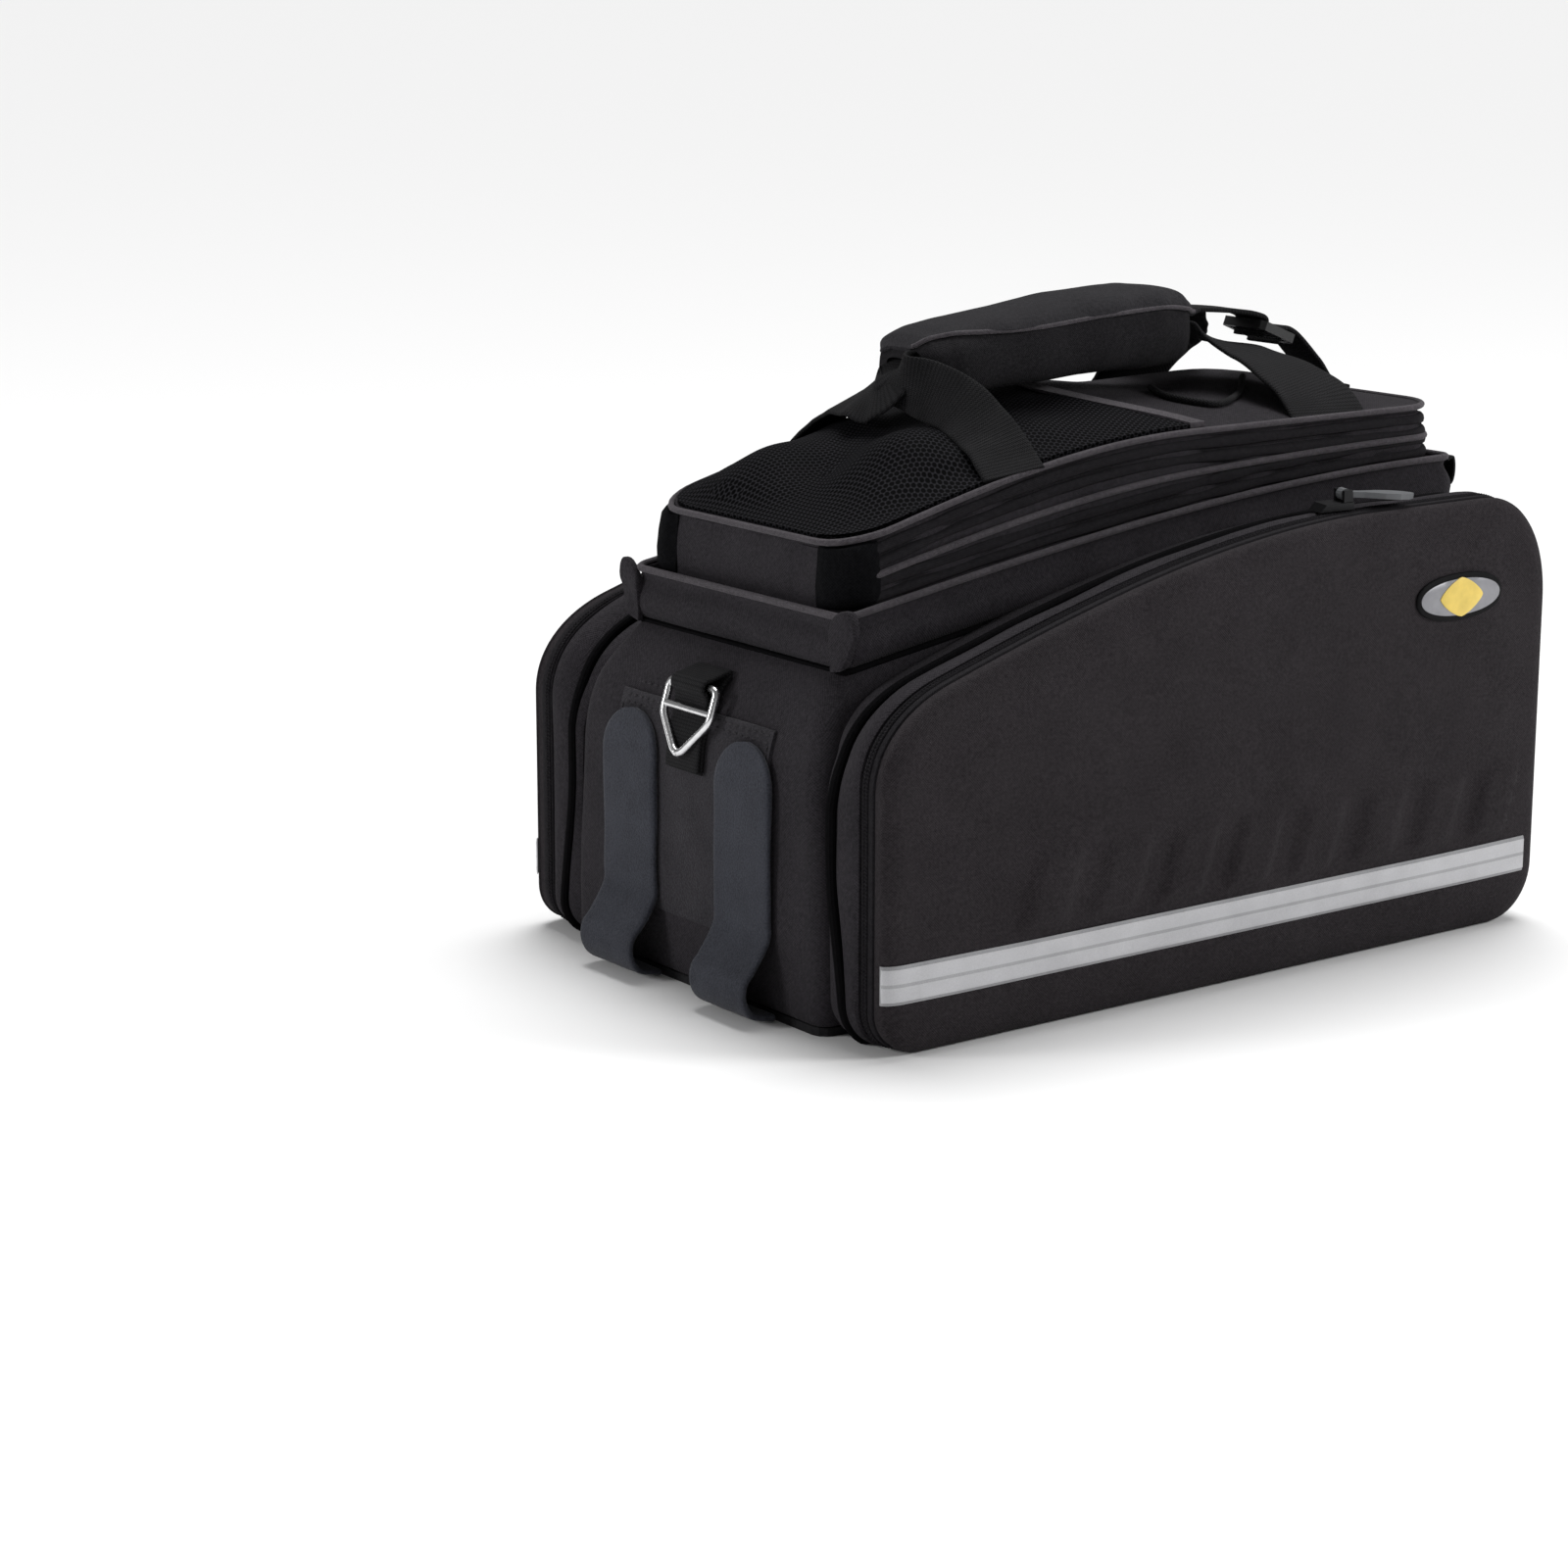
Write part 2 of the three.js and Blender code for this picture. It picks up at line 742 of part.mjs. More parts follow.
function makePannierZip() {
  const at = (share) => () => mix(zipInner, zipInner + pannierZipWidth, share);
  return loft(
    [
      pannierRing(zipSink, at(0)),
      pannierRing(zipSink - zipTeethRise, at(0.5)),
      pannierRing(zipSink, at(1)),
      pannierRing(zipSink + zipThickness, at(1)),
      pannierRing(zipSink + zipThickness, at(0)),
    ],
    true,
  );
}

// Moulded shell: a dish with a rounded edge and a slightly crowned face
const faceMiddle = [mix(pannierFront, pannierRear, 0.52), archHigh * 0.47];
const outsideFacets = { edge: [0.33, 0.67, 1], face: [0.25, 0.65] };
const insideFacets = { edge: [0.5, 1], face: [0.5] };
const crownAt = (share) => shellCrown * (1 - (1 - share) ** 2);

function shellSkin(wall, facets) {
  const radius = shellEdgeRadius;
  const rings = [pannierRing(wall, () => shellRim)];
  rings.push(pannierRing(wall, () => shellFace - radius));
  facets.edge.forEach((share) => {
    const angle = (share * Math.PI) / 2;
    const inset = wall + (radius - wall) * (1 - Math.cos(angle));
    const across = shellFace - radius + (radius - wall) * Math.sin(angle);
    rings.push(pannierRing(inset, () => across));
  });
  const edge = rings[rings.length - 1];
  facets.face.forEach((share) => {
    rings.push(
      edge.map(([x, y, z]) => [
        mix(x, faceMiddle[0], share),
        y - crownAt(share),
        mix(z, faceMiddle[1], share),
      ]),
    );
  });
  return rings;
}

function makeShell() {
  return loft([...shellSkin(0, outsideFacets).reverse(), ...shellSkin(shellWall, insideFacets)], false);
}

// How far out the face of the shell lies at a place on it
function faceAcross(x, z) {
  const edge = pannierRing(shellEdgeRadius, () => shellFace);
  const [cx, cz] = faceMiddle;
  for (let i = 0; i < edge.length; i += 1) {
    const a = edge[i];
    const b = edge[(i + 1) % edge.length];
    const [ax, az, bx, bz] = [a[0] - cx, a[2] - cz, b[0] - cx, b[2] - cz];
    const [px, pz] = [x - cx, z - cz];
    const whole = ax * bz - az * bx;
    const first = (px * bz - pz * bx) / whole;
    const second = (ax * pz - az * px) / whole;
    if (first >= -1e-6 && second >= -1e-6) return shellFace + crownAt(clamp01(1 - first - second));
  }
  return shellFace + shellCrown;
}

// A thin strip along the shell, from its rounded front edge to the rear end of its face
function makeStripe() {
  const steps = 11;
  const from = pannierFront + shellEdgeRadius;
  const to = pannierRear - shellEdgeRadius;
  const edgeStations = outsideFacets.edge.slice(0, -1).map((share) => {
    const angle = (share * Math.PI) / 2;
    const across = shellFace - shellEdgeRadius * (1 - Math.sin(angle));
    return { x: pannierFront + shellEdgeRadius * (1 - Math.cos(angle)), faceAt: () => across };
  });
  const faceStations = Array.from({ length: steps + 1 }, (_, i) => {
    const x = mix(from, to, i / steps);
    return { x, faceAt: (z) => faceAcross(x, z) };
  });
  const rings = [];
  [...edgeStations, ...faceStations].forEach(({ x, faceAt }) => {
    const out = (z, lift) => -(faceAt(z) + fitGap + lift);
    const [low, high] = [stripeHeight, stripeHeight + stripeWidth];
    const middle = (low + high) / 2;
    rings.push([
      [x, out(low, 0), low],
      [x, out(middle, 0), middle],
      [x, out(high, 0), high],
      [x, out(high, stripeThickness), high],
      [x, out(middle, stripeThickness), middle],
      [x, out(low, stripeThickness), low],
    ]);
  });
  return loft(rings, false);
}

// A plain lozenge-shaped badge that lies on the shell's face
function makeBadge() {
  const x0 = pannierRear - badgeFromRear;
  const rings = [0, 0.6, 1].map((lift) => {
    const shrink = lift === 1 ? 0.85 : 1;
    return Array.from({ length: roundFacets }, (_, i) => {
      const angle = (i * 2 * Math.PI) / roundFacets;
      const x = x0 + (badgeLength / 2) * shrink * Math.cos(angle);
      const z = badgeHeight + (badgeWidth / 2) * shrink * Math.sin(angle);
      return [x, -(faceAcross(x, z) + fitGap + badgeThickness * lift), z];
    });
  });
  return loft(rings, false);
}

// Zip slider on top of the pannier's zip, with the pin that its pull turns on
const sliderAcross = zipInner + pannierZipWidth / 2;
const sliderSeat = archAt(sliderAt) + sliderLift;
const sliderSlope = Math.atan2(
  archAt(sliderAt + sliderLength / 2) - archAt(sliderAt - sliderLength / 2),
  sliderLength,
);
const pinAt = sliderAt + (sliderLength - earLength) / 2;
const pinHeight = sliderSeat + sliderHeight + pinRise;

// Places a piece that was made level on the slider's seat onto the sloping zip
function seatOnZip(geometry) {
  geometry.translate(-sliderAt, 0, -sliderSeat);
  geometry.rotateZ((-sliderTurn * Math.PI) / 180);
  geometry.rotateY(-sliderSlope);
  geometry.translate(sliderAt, -sliderAcross, sliderSeat);
  return geometry;
}

function makeSlider() {
  const half = sliderLength / 2;
  const top = sliderSeat + sliderHeight;
  const base = outlineThrough([
    [sliderAt - half, sliderSeat],
    [sliderAt + half, sliderSeat],
    [sliderAt + half, top],
    [sliderAt - half + sliderHeight, top],
  ]);
  const ear = outlineThrough([
    [pinAt - earLength / 2, sliderSeat],
    [pinAt + earLength / 2, sliderSeat],
    [pinAt + earLength / 2, top],
    [pinAt + pinDiameter, pinHeight + pinDiameter],
    [pinAt - pinDiameter, pinHeight + pinDiameter],
  ]);
  let slider = toSolid(extrudeAcross(base, sliderWidth));
  [-1, 1].forEach((side) => {
    const cheek = extrudeAcross(ear, earThickness);
    cheek.translate(0, (side * (earSpacing + earThickness)) / 2, 0);
    slider = slider.add(toSolid(cheek));
  });
  const radius = pinDiameter / 2;
  const pin = new THREE.CylinderGeometry(radius, radius, earSpacing + earThickness, 8);
  pin.translate(pinAt, 0, pinHeight);
  return seatOnZip(toGeometry(slider.add(toSolid(pin))));
}

// Leaf-shaped pull, with an eye round the slider's pin. Rows give its width along its length,
// as shares of its greatest width.
const leafRows = [
  { along: 0, width: 0.3 },
  { along: 0.22, width: 0.42 },
  { along: 0.5, width: 0.9 },
  { along: 0.72, width: 1 },
  { along: 0.9, width: 0.7 },
  { along: 1, width: 0.2 },
];
const eyeRadius = pinDiameter / 2 + fitGap;
const neckWidth = earSpacing - 2 * pullNeckPlay;

function makePull() {
  const rim = eyeRadius + pullRim;
  const eye = new THREE.Shape();
  eye.absarc(pinAt, pinHeight, rim, 0, 2 * Math.PI);
  const hole = new THREE.Path();
  hole.absarc(pinAt, pinHeight, eyeRadius, 0, 2 * Math.PI);
  eye.holes.push(hole);
  const ring = toSolid(extrudeAcross(eye, neckWidth));
  const leafStart = pinAt + eyeRadius + pullRim / 2;
  const [low, high] = [pinHeight - pullThickness / 2, pinHeight + pullThickness / 2];
  const rings = leafRows.map((row) => {
    const x = leafStart + (pullLength - rim) * row.along;
    const y = (pullWidth * row.width) / 2;
    return [
      [x, -y, low],
      [x, y, low],
      [x, y, high],
      [x, -y, high],
    ];
  });
  const pull = toGeometry(ring.add(toSolid(loft(rings, false))));
  pull.translate(-pinAt, 0, -pinHeight);
  pull.rotateY((pullDroop * Math.PI) / 180);
  pull.translate(pinAt, 0, pinHeight);
  return seatOnZip(pull);
}

// Patch of loop tape on the front panel
const patchTop = seamHeight - patchBelowSeam;
function makePatch() {
  const heights = heightsOn(frontPanel, patchBottom, patchTop);
  const faceAt = (z) => frontPanel.outAt(z) + fitGap;
  const inner = heights.map((z) => [faceAt(z), z]);
  const outer = heights.map((z) => [faceAt(z) + patchThickness, z]).reverse();
  return onPanel(frontPanel, extrudeAcross(outlineThrough([...inner, ...outer]), patchWidth));
}

const rackStrapTop = seamHeight - rackStrapBelowSeam;

// Hook-and-loop strap: down the patch, round the gap for a rack tube, and in to the bottom edge
function makeRackStrap(middle) {
  const lieAt = (z) => frontPanel.outAt(z) + fitGap + patchThickness + fitGap;
  const lie = lieAt(rackGapTop);
  const foot = frontPanel.outAt(0) + fitGap;
  const gapLow = rackStrapThickness + rackStrapLift;
  const gapMiddle = (rackGapTop + gapLow) / 2;
  const gapHalf = (rackGapTop - gapLow) / 2;
  const heights = heightsOn(frontPanel, rackGapTop + rackTubeGap, rackStrapTop).reverse();
  const inner = heights.map((z) => [lieAt(z), z]);
  const outer = heights.map((z) => [lieAt(z) + rackStrapThickness, z]);
  const bends = 7;
  for (let i = 1; i < bends; i += 1) {
    const angle = Math.PI / 2 - (Math.PI * i) / bends;
    const reach = rackTubeGap * Math.cos(angle);
    inner.push([lie + reach, gapMiddle + gapHalf * Math.sin(angle)]);
    outer.push([
      lie + reach + rackStrapThickness * Math.cos(angle),
      gapMiddle + (gapHalf + rackStrapThickness) * Math.sin(angle),
    ]);
  }
  const footHeight = gapMiddle - gapHalf - rackStrapThickness;
  inner.push([foot, footHeight + rackStrapThickness]);
  outer.push([foot, footHeight]);
  const profile = outlineThrough([...inner, ...outer.reverse()]);
  const side = toSolid(onPanel(frontPanel, extrudeAcross(profile, rackStrapWidth)));
  const radius = rackStrapWidth / 2;
  const front = new THREE.Shape();
  front.moveTo(-radius, -1);
  front.lineTo(radius, -1);
  front.lineTo(radius, rackStrapTop - radius);
  front.absellipse(0, rackStrapTop - radius, radius, radius, 0, Math.PI, false);
  const mask = new THREE.ExtrudeGeometry(front, {
    depth: compartmentLength / 4,
    bevelEnabled: false,
    curveSegments: roundFacets / 2,
  });
  mask.rotateX(Math.PI / 2);
  mask.rotateZ(Math.PI / 2);
  mask.translate(bodyFront - compartmentLength / 8, 0, 0);
  const strap = toGeometry(side.intersect(toSolid(mask)));
  strap.translate(0, middle, 0);
  return strap;
}

// Where a ring's tab lies on its panel, and how far out the bar is that the ring hangs from
const ringHeightOnPanel = seamHeight - ringBelowSeam;
const ringTabBottom = ringHeightOnPanel - ringTabDrop;
const ringTabTop = ringHeightOnPanel + ringTabRise;
const ringHole = ringWire / 2 + ringPlay;
const tabSeat = (panel) => panel.underTab + fitGap;
const ringBarOut = (panel) =>
  panel.outAt(ringHeightOnPanel) + tabSeat(panel) + ringTabPad + ringHole;

// Webbing tab that is folded round the ring's bar and sewn to the panel
function makeRingTab(panel) {
  const heights = heightsOn(panel, ringTabBottom, ringTabTop);
  const seat = tabSeat(panel);
  const back = heights.map((z) => [panel.outAt(z) + seat, z]);
  const bar = ringBarOut(panel);
  const loopRadius = ringHole + webbingThickness;
  const front = [[panel.outAt(ringTabTop) + seat + webbingThickness, ringTabTop]];
  const turns = 7;
  for (let i = 0; i <= turns; i += 1) {
    const angle = mix(0.62, -0.3, i / turns) * Math.PI;
    front.push([bar + loopRadius * Math.cos(angle), ringHeightOnPanel + loopRadius * Math.sin(angle)]);
  }
  heightsOn(panel, ringTabBottom, ringHeightOnPanel - ringBarDrop)
    .reverse()
    .forEach((z) => front.push([panel.outAt(z) + seat + webbingThickness, z]));
  const profile = outlineThrough([...back, ...front]);
  const hole = new THREE.Path();
  hole.absarc(bar, ringHeightOnPanel, ringHole, 0, 2 * Math.PI);
  profile.holes.push(hole);
  return onPanel(panel, extrudeAcross(profile, ringTabWidth));
}

// A ring hangs straight down from its bar, or leans out where its tab is in the way.
function ringTilt(panel) {
  const drop = ringHeight - ringWire / 2;
  const restOut = panel.outAt(ringHeightOnPanel - drop) + tabSeat(panel) + webbingThickness;
  return Math.max(0, Math.atan2(restOut + ringRestGap + ringWire / 2 - ringBarOut(panel), drop));
}

// Wire ring: a bar in the tab, a second bar below it, and a rounded point at the bottom
function makeRing(panel) {
  const wire = ringWire / 2;
  const half = ringWidth / 2 - wire;
  const low = -(ringHeight - wire);
  const sides = 6;
  const bar = (from, to) => {
    const along = new THREE.Vector3().subVectors(to, from);
    const rod = new THREE.CylinderGeometry(wire, wire, along.length(), sides);
    rod.translate(0, along.length() / 2, 0);
    rod.applyQuaternion(
      new THREE.Quaternion().setFromUnitVectors(new THREE.Vector3(0, 1, 0), along.normalize()),
    );
    rod.translate(from.x, from.y, from.z);
    return toSolid(rod);
  };
  const corners = [
    [half, 0],
    [-half, 0],
    [-half, -ringBarDrop - ringWire],
    [-ringWire, low],
    [ringWire, low],
    [half, -ringBarDrop - ringWire],
  ].map(([y, z]) => new THREE.Vector3(0, y, z));
  let ring = bar(
    new THREE.Vector3(0, half, -ringBarDrop),
    new THREE.Vector3(0, -half, -ringBarDrop),
  );
  corners.forEach((corner, i) => {
    ring = ring.add(bar(corner, corners[(i + 1) % corners.length]));
    const knuckle = new THREE.SphereGeometry(wire, sides, 4);
    knuckle.translate(corner.x, corner.y, corner.z);
    ring = ring.add(toSolid(knuckle));
  });
  const geometry = toGeometry(ring);
  geometry.rotateY(-ringTilt(panel));
  geometry.translate(ringBarOut(panel), 0, ringHeightOnPanel);
  return onPanel(panel, geometry);
}

// A ribbon of webbing through a few stations, each with its place, the direction of its
// width, and the width.
function ribbon(stations, thickness, stepsBetween) {
  const curve = new THREE.CatmullRomCurve3(
    stations.map(({ at }) => new THREE.Vector3(...at)),
    false,
    "centripetal",
  );
  const spans = stations.length - 1;
  const steps = spans * stepsBetween;
  const rings = [];
  for (let i = 0; i <= steps; i += 1) {
    const share = i / steps;
    const at = curve.getPoint(share);
    const along = curve.getTangent(share);
    const span = Math.min(Math.floor(share * spans), spans - 1);
    const part = smooth(share * spans - span);
    const [from, to] = [stations[span], stations[span + 1]];
    const across = new THREE.Vector3(...from.across).lerp(new THREE.Vector3(...to.across), part);
    across.addScaledVector(along, -across.dot(along)).normalize();
    across.multiplyScalar(mix(from.width, to.width, part) / 2);
    const up = new THREE.Vector3().crossVectors(across, along).normalize();
    up.multiplyScalar(thickness / 2);
    rings.push(
      [
        [1, 1],
        [-1, 1],
        [-1, -1],
        [1, -1],
      ].map(([a, u]) => at.clone().addScaledVector(across, a).addScaledVector(up, u).toArray()),
    );
  }
  return loft(rings, false);
}

// The grip: rows along its length with its rise and its fullness
const gripRows = [
  { along: 0, rise: 0, full: 0.62 },
  { along: 0.03, rise: 0.03, full: 0.86 },
  { along: 0.1, rise: 0.12, full: 1 },
  { along: 0.35, rise: 0.48, full: 1 },
  { along: 0.6, rise: 0.8, full: 1 },
  { along: 0.85, rise: 1, full: 1 },
  { along: 0.96, rise: 1, full: 0.88 },
  { along: 1, rise: 0.98, full: 0.66 },
];
const gripFront = gripCentre - gripLength / 2;
const gripRear = gripCentre + gripLength / 2;
const gripAt = (x) =>
  gripHeight + gripRise * readTable(gripRows, "along", "rise", (x - gripFront) / gripLength);

function makeGrip() {
  const sides = 16;
  const rings = gripRows.map((row) => {
    const x = mix(gripFront, gripRear, row.along);
    return Array.from({ length: sides }, (_, i) => {
      const angle = (2 * Math.PI * i) / sides;
      const round = (value) => Math.sign(value) * Math.abs(value) ** 0.75;
      return [
        x,
        (gripWidth / 2) * row.full * round(Math.cos(angle)),
        gripHeight + gripRise * row.rise + (gripThickness / 2) * row.full * round(Math.sin(angle)),
      ];
    });
  });
  const tunnelRows = gripRows.map((row) => mix(gripFront, gripRear, row.along));
  tunnelRows[0] -= 5;
  tunnelRows[tunnelRows.length - 1] += 5;
  const tunnel = tunnelRows.map((x) =>
    [
      [-1, -1],
      [1, -1],
      [1, 1],
      [-1, 1],
    ].map(([y, z]) => [x, (gripTunnelWidth / 2) * y, gripAt(x) + (gripTunnelHeight / 2) * z]),
  );
  return toGeometry(toSolid(loft(rings, false)).subtract(toSolid(loft(tunnel, false))));
}

// The ends of a handle strap. Rows give a place along the bag from its anchor or the grip's end,
// shares of the way out and down to the anchor, how far it has turned from level across the grip
// to its width along the lid's edge, and how far apart the layers lie, in layers.
const strapFrontRows = [
  { from: "anchor", along: 0, out: 1, down: 1, turn: 1, part: 0 },
  { from: "anchor", along: -4, out: 0.84, down: 0.8, turn: 1, part: 0 },
  { from: "grip", along: -6, out: 0.5, down: 0.44, turn: 0.85, part: 1 },
  { from: "grip", along: -11, out: 0.22, down: 0.15, turn: 0.4, part: 3 },
  { from: "grip", along: -8, out: 0.07, down: 0.03, turn: 0.14, part: 2.6 },
  { from: "grip", along: -2, out: 0, down: 0, turn: 0, part: 1.2 },
  { from: "grip", along: 6, out: 0, down: 0, turn: 0, part: 1 },
];
const strapRearRows = [
  { from: "grip", along: -6, out: 0, down: 0, turn: 0, part: 1 },
  { from: "grip", along: 2, out: 0, down: 0, turn: 0, part: 1.2 },
  { from: "grip", along: 9, out: 0.07, down: 0.04, turn: 0.15, part: 2.6 },
  { from: "grip", along: 16, out: 0.22, down: 0.2, turn: 0.4, part: 3.2 },
  { from: "grip", along: 22, out: 0.5, down: 0.52, turn: 0.85, part: 1 },
  { from: "anchor", along: 0, out: 0.86, down: 0.82, turn: 1, part: 0 },
  { from: "anchor", along: 0, out: 1, down: 1, turn: 1, part: 0 },
];

// A handle strap: from the lid's edge up to the grip, through it, and down to the edge again
function makeHandleStrap(side, layer) {
  const seatAt = (x, y) => lidTopAt(x, y) + strapSeat;
  const edge = side * (lidHalf - strapEdgeInset);
  const slopeAt = (x, length) =>
    (lidTopAt(x + length / 2, edge) - lidTopAt(x - length / 2, edge)) / length;
  const station = (row, end, anchor, anchorWidth, gripEnd) => {
    const x = (row.from === "anchor" ? anchor : gripEnd) + row.along;
    const top = gripAt(x) + layer * strapLayer * row.part;
    const slope = slopeAt(anchor, anchorWidth) * row.turn;
    return {
      at: [x, edge * row.out, mix(top, seatAt(anchor, edge), row.down)],
      across: [end * row.turn, -side * (1 - row.turn), end * slope],
      width: mix(webbingWidth, anchorWidth, row.turn),
    };
  };
  const middle = gripRows
    .filter((row) => row.full === 1)
    .map((row) => ({
      at: [
        mix(gripFront, gripRear, row.along),
        0,
        gripHeight + gripRise * row.rise + layer * strapLayer,
      ],
      across: [0, -side, 0],
      width: webbingWidth,
    }));
  const frontPart = strapFrontRows.map((row) =>
    station(row, -1, frontAnchorAt, frontAnchorWidth, gripFront),
  );
  const rearPart = strapRearRows.map((row) =>
    station(row, 1, rearAnchorAt, rearAnchorWidth, gripRear),
  );
  return ribbon([...frontPart, ...middle, ...rearPart], webbingThickness, 2);
}

const lockDrift = -adjusterDrift / 2;
const slotLength = (lockLength - 3 * lockBar) / 2;
const slotMiddle = (lockBar + slotLength) / 2;

// Ladder lock between the two parts of the adjusting strap, in its own level frame
function placeLock(geometry) {
  geometry.rotateY((lockTilt * Math.PI) / 180);
  geometry.translate(lockAt, lockDrift, lockHeight);
  return geometry;
}

function makeLock() {
  const [halfLength, halfWidth] = [lockLength / 2, lockWidth / 2];
  const frame = outlineThrough([
    [-halfLength, -halfWidth + lockChamfer],
    [-halfLength + lockChamfer, -halfWidth],
    [halfLength - lockChamfer, -halfWidth],
    [halfLength, -halfWidth + lockChamfer],
    [halfLength, halfWidth - lockChamfer],
    [halfLength - lockChamfer, halfWidth],
    [-halfLength + lockChamfer, halfWidth],
    [-halfLength, halfWidth - lockChamfer],
  ]);
  const plate = new THREE.ExtrudeGeometry(frame, { depth: lockThickness, bevelEnabled: false });
  plate.translate(0, 0, -lockThickness / 2);
  let lock = toSolid(plate);
  [-1, 1].forEach((end) => {
    const slot = new THREE.BoxGeometry(slotLength, adjusterWidth + 2 * clothGap, 2 * lockThickness);
    slot.translate((end * (lockBar + slotLength)) / 2, 0, 0);
    lock = lock.subtract(toSolid(slot));
  });
  return placeLock(toGeometry(lock));
}

// Turns a place in the lock's frame into the bag's.
function fromLock(x, z) {
  const angle = (lockTilt * Math.PI) / 180;
  return [
    lockAt + x * Math.cos(angle) + z * Math.sin(angle),
    lockDrift,
    lockHeight - x * Math.sin(angle) + z * Math.cos(angle),
  ];
}

const overBar = lockThickness / 2 + webbingThickness / 2 + clothGap;

const adjusterStation = (at) => ({ at, across: [0, 1, 0], width: adjusterWidth });

// Where the adjusting strap runs at an end of the lock, from outside it to inside its slot:
// places along the lock from its slot's middle outward, and shares of the way up over its bar
const lockRows = [
  { along: slotLength / 2 + lockBar + 1, up: 1.12 },
  { along: 1.4, up: 1 },
  { along: 0, up: 0 },
  { along: -0.4, up: -1.15 },
];
const lockStations = (end) =>
  lockRows.map(({ along, up }) => adjusterStation(fromLock(end * (slotMiddle + along), overBar * up)));

function makeUpperAdjuster() {
  const stations = [gripRear - adjusterTail, gripRear, gripRear + adjusterLead].map((x) =>
    adjusterStation([x, 0, gripAt(x) + strapLayer]),
  );
  return ribbon([...stations, ...lockStations(-1)], webbingThickness, 2);
}

function makeLowerAdjuster() {
  const side = -adjusterDrift;
  const seat = (x, lift) => [x, side, lidTopAt(x, side) + clothGap + webbingThickness / 2 + lift];
  const [sewnFrom, sewnTo] = [adjusterAnchorAt - sewnLength / 2, adjusterAnchorAt + sewnLength / 2];
  // The strap hangs a little slack between the lock and its seam on the lid
  const slack = { along: 0.68, across: 0.5, down: 0.6 };
  const slackAt = mix(lockAt, adjusterAnchorAt, slack.along);
  const slackHeight = mix(lockHeight, seat(slackAt, 0)[2], slack.down);
  const stations = [
    [slackAt, mix(lockDrift, side, slack.across), slackHeight],
    seat(sewnFrom, clothGap),
    seat(sewnTo, 0),
  ];
  const lockEnd = lockStations(1).reverse();
  return ribbon([...lockEnd, ...stations.map(adjusterStation)], webbingThickness, 2);
}

// Folded cloth that covers the zip's end at a front corner of the band
function makeZipEnd() {
  const section = [
    { out: 0, up: 0 },
    { out: 1, up: 0.1 },
    { out: 1, up: 0.9 },
    { out: 0, up: 1 },
  ];
  const count = seamLoop(0, bandCorner).length;
  const lowAt = (x) => rimAt(x) + zipEndRise;
  const rings = [];
  for (let i = -1; i < cornerFacets; i += 1) {
    const number = (i + count) % count;
    rings.push(
      section.map(({ out, up }) => onBand(number, lowAt, zipEndHeight * up, zipEndThickness * out)),
    );
  }
  return loft(rings, false);
}

// The pieces, from the bottom of the bag to its handle
addPiece("base_board", makeBaseBoard(), "plastic");
addPiece("main_compartment", makeCompartment(), "fabric");
addPiece("collar_band", makeCollar(), "fabric");
addPiece("collar_piping", makeCollarPiping(), "piping");
addPiece("expansion_band", makeExpansionBand(), "fabric");
addPiece("expansion_zipper", makeBandZip((x) => rimAt(x) + zipRiseFromCollar), "zipper");
addPiece("lid_zipper", makeBandZip((x) => bandTopAt(x) - zipDropFromLid - zipWidth), "zipper");
addPiece("lid", lidSheet(-lidWall, 0, undersideShares), "fabric");
addPiece("lid_piping", makeLidPiping(), "piping");
addPiece("lid_mesh_pocket", makeMeshPocket(), "mesh");
addPiece("mesh_binding", makeMeshBinding(), "piping");

const pannierPieces = [
  { name: "zipper_end", geometry: makeZipEnd(), look: "webbing" },
  { name: "pannier_gusset", geometry: makeGusset(), look: "fabric" },
  { name: "pannier_zipper", geometry: makePannierZip(), look: "zipper" },
  { name: "pannier_shell", geometry: makeShell(), look: "fabric" },
  { name: "reflective_stripe", geometry: makeStripe(), look: "reflective" },
  { name: "badge", geometry: makeBadge(), look: "badge" },
  { name: "pannier_slider", geometry: makeSlider(), look: "plastic" },
  { name: "pannier_pull", geometry: makePull(), look: "pull" },
];
pannierPieces.forEach(({ name, geometry, look }) => {
  addPiece(`${name}_left`, geometry, look);
  addPiece(`${name}_right`, mirrored(BufferGeometryUtils.mergeVertices(geometry)), look);
});

addPiece("loop_patch", makePatch(), "hookLoop");
addPiece("rack_strap_left", makeRackStrap(-rackStrapSpacing / 2), "hookLoop");
addPiece("rack_strap_right", makeRackStrap(rackStrapSpacing / 2), "hookLoop");
addPiece("d_ring_tab_front", makeRingTab(frontPanel), "webbing");
addPiece("d_ring_front", makeRing(frontPanel), "steel");
addPiece("d_ring_tab_rear", makeRingTab(rearPanel), "webbing");
addPiece("d_ring_rear", makeRing(rearPanel), "steel");
addPiece("handle_strap_left", makeHandleStrap(-1, 0), "webbing");
addPiece("handle_strap_right", makeHandleStrap(1, -1), "webbing");
addPiece("handle_grip", makeGrip(), "fabric");
addPiece("adjuster_strap_upper", makeUpperAdjuster(), "webbing");
addPiece("ladder_lock", makeLock(), "plastic");
addPiece("adjuster_strap_lower", makeLowerAdjuster(), "webbing");

// The origin is under the middle of the whole bag, on the surface that it rests on.
const whole = new THREE.Box3().setFromObject(bag);
bag.position.set(
  -(whole.min.x + whole.max.x) / 2,
  -(whole.min.y + whole.max.y) / 2,
  -whole.min.z,
);

export default bag;
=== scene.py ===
"""A bicycle trunk bag of black woven cloth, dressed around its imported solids."""

import math

import bmesh
import bpy
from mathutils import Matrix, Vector, noise


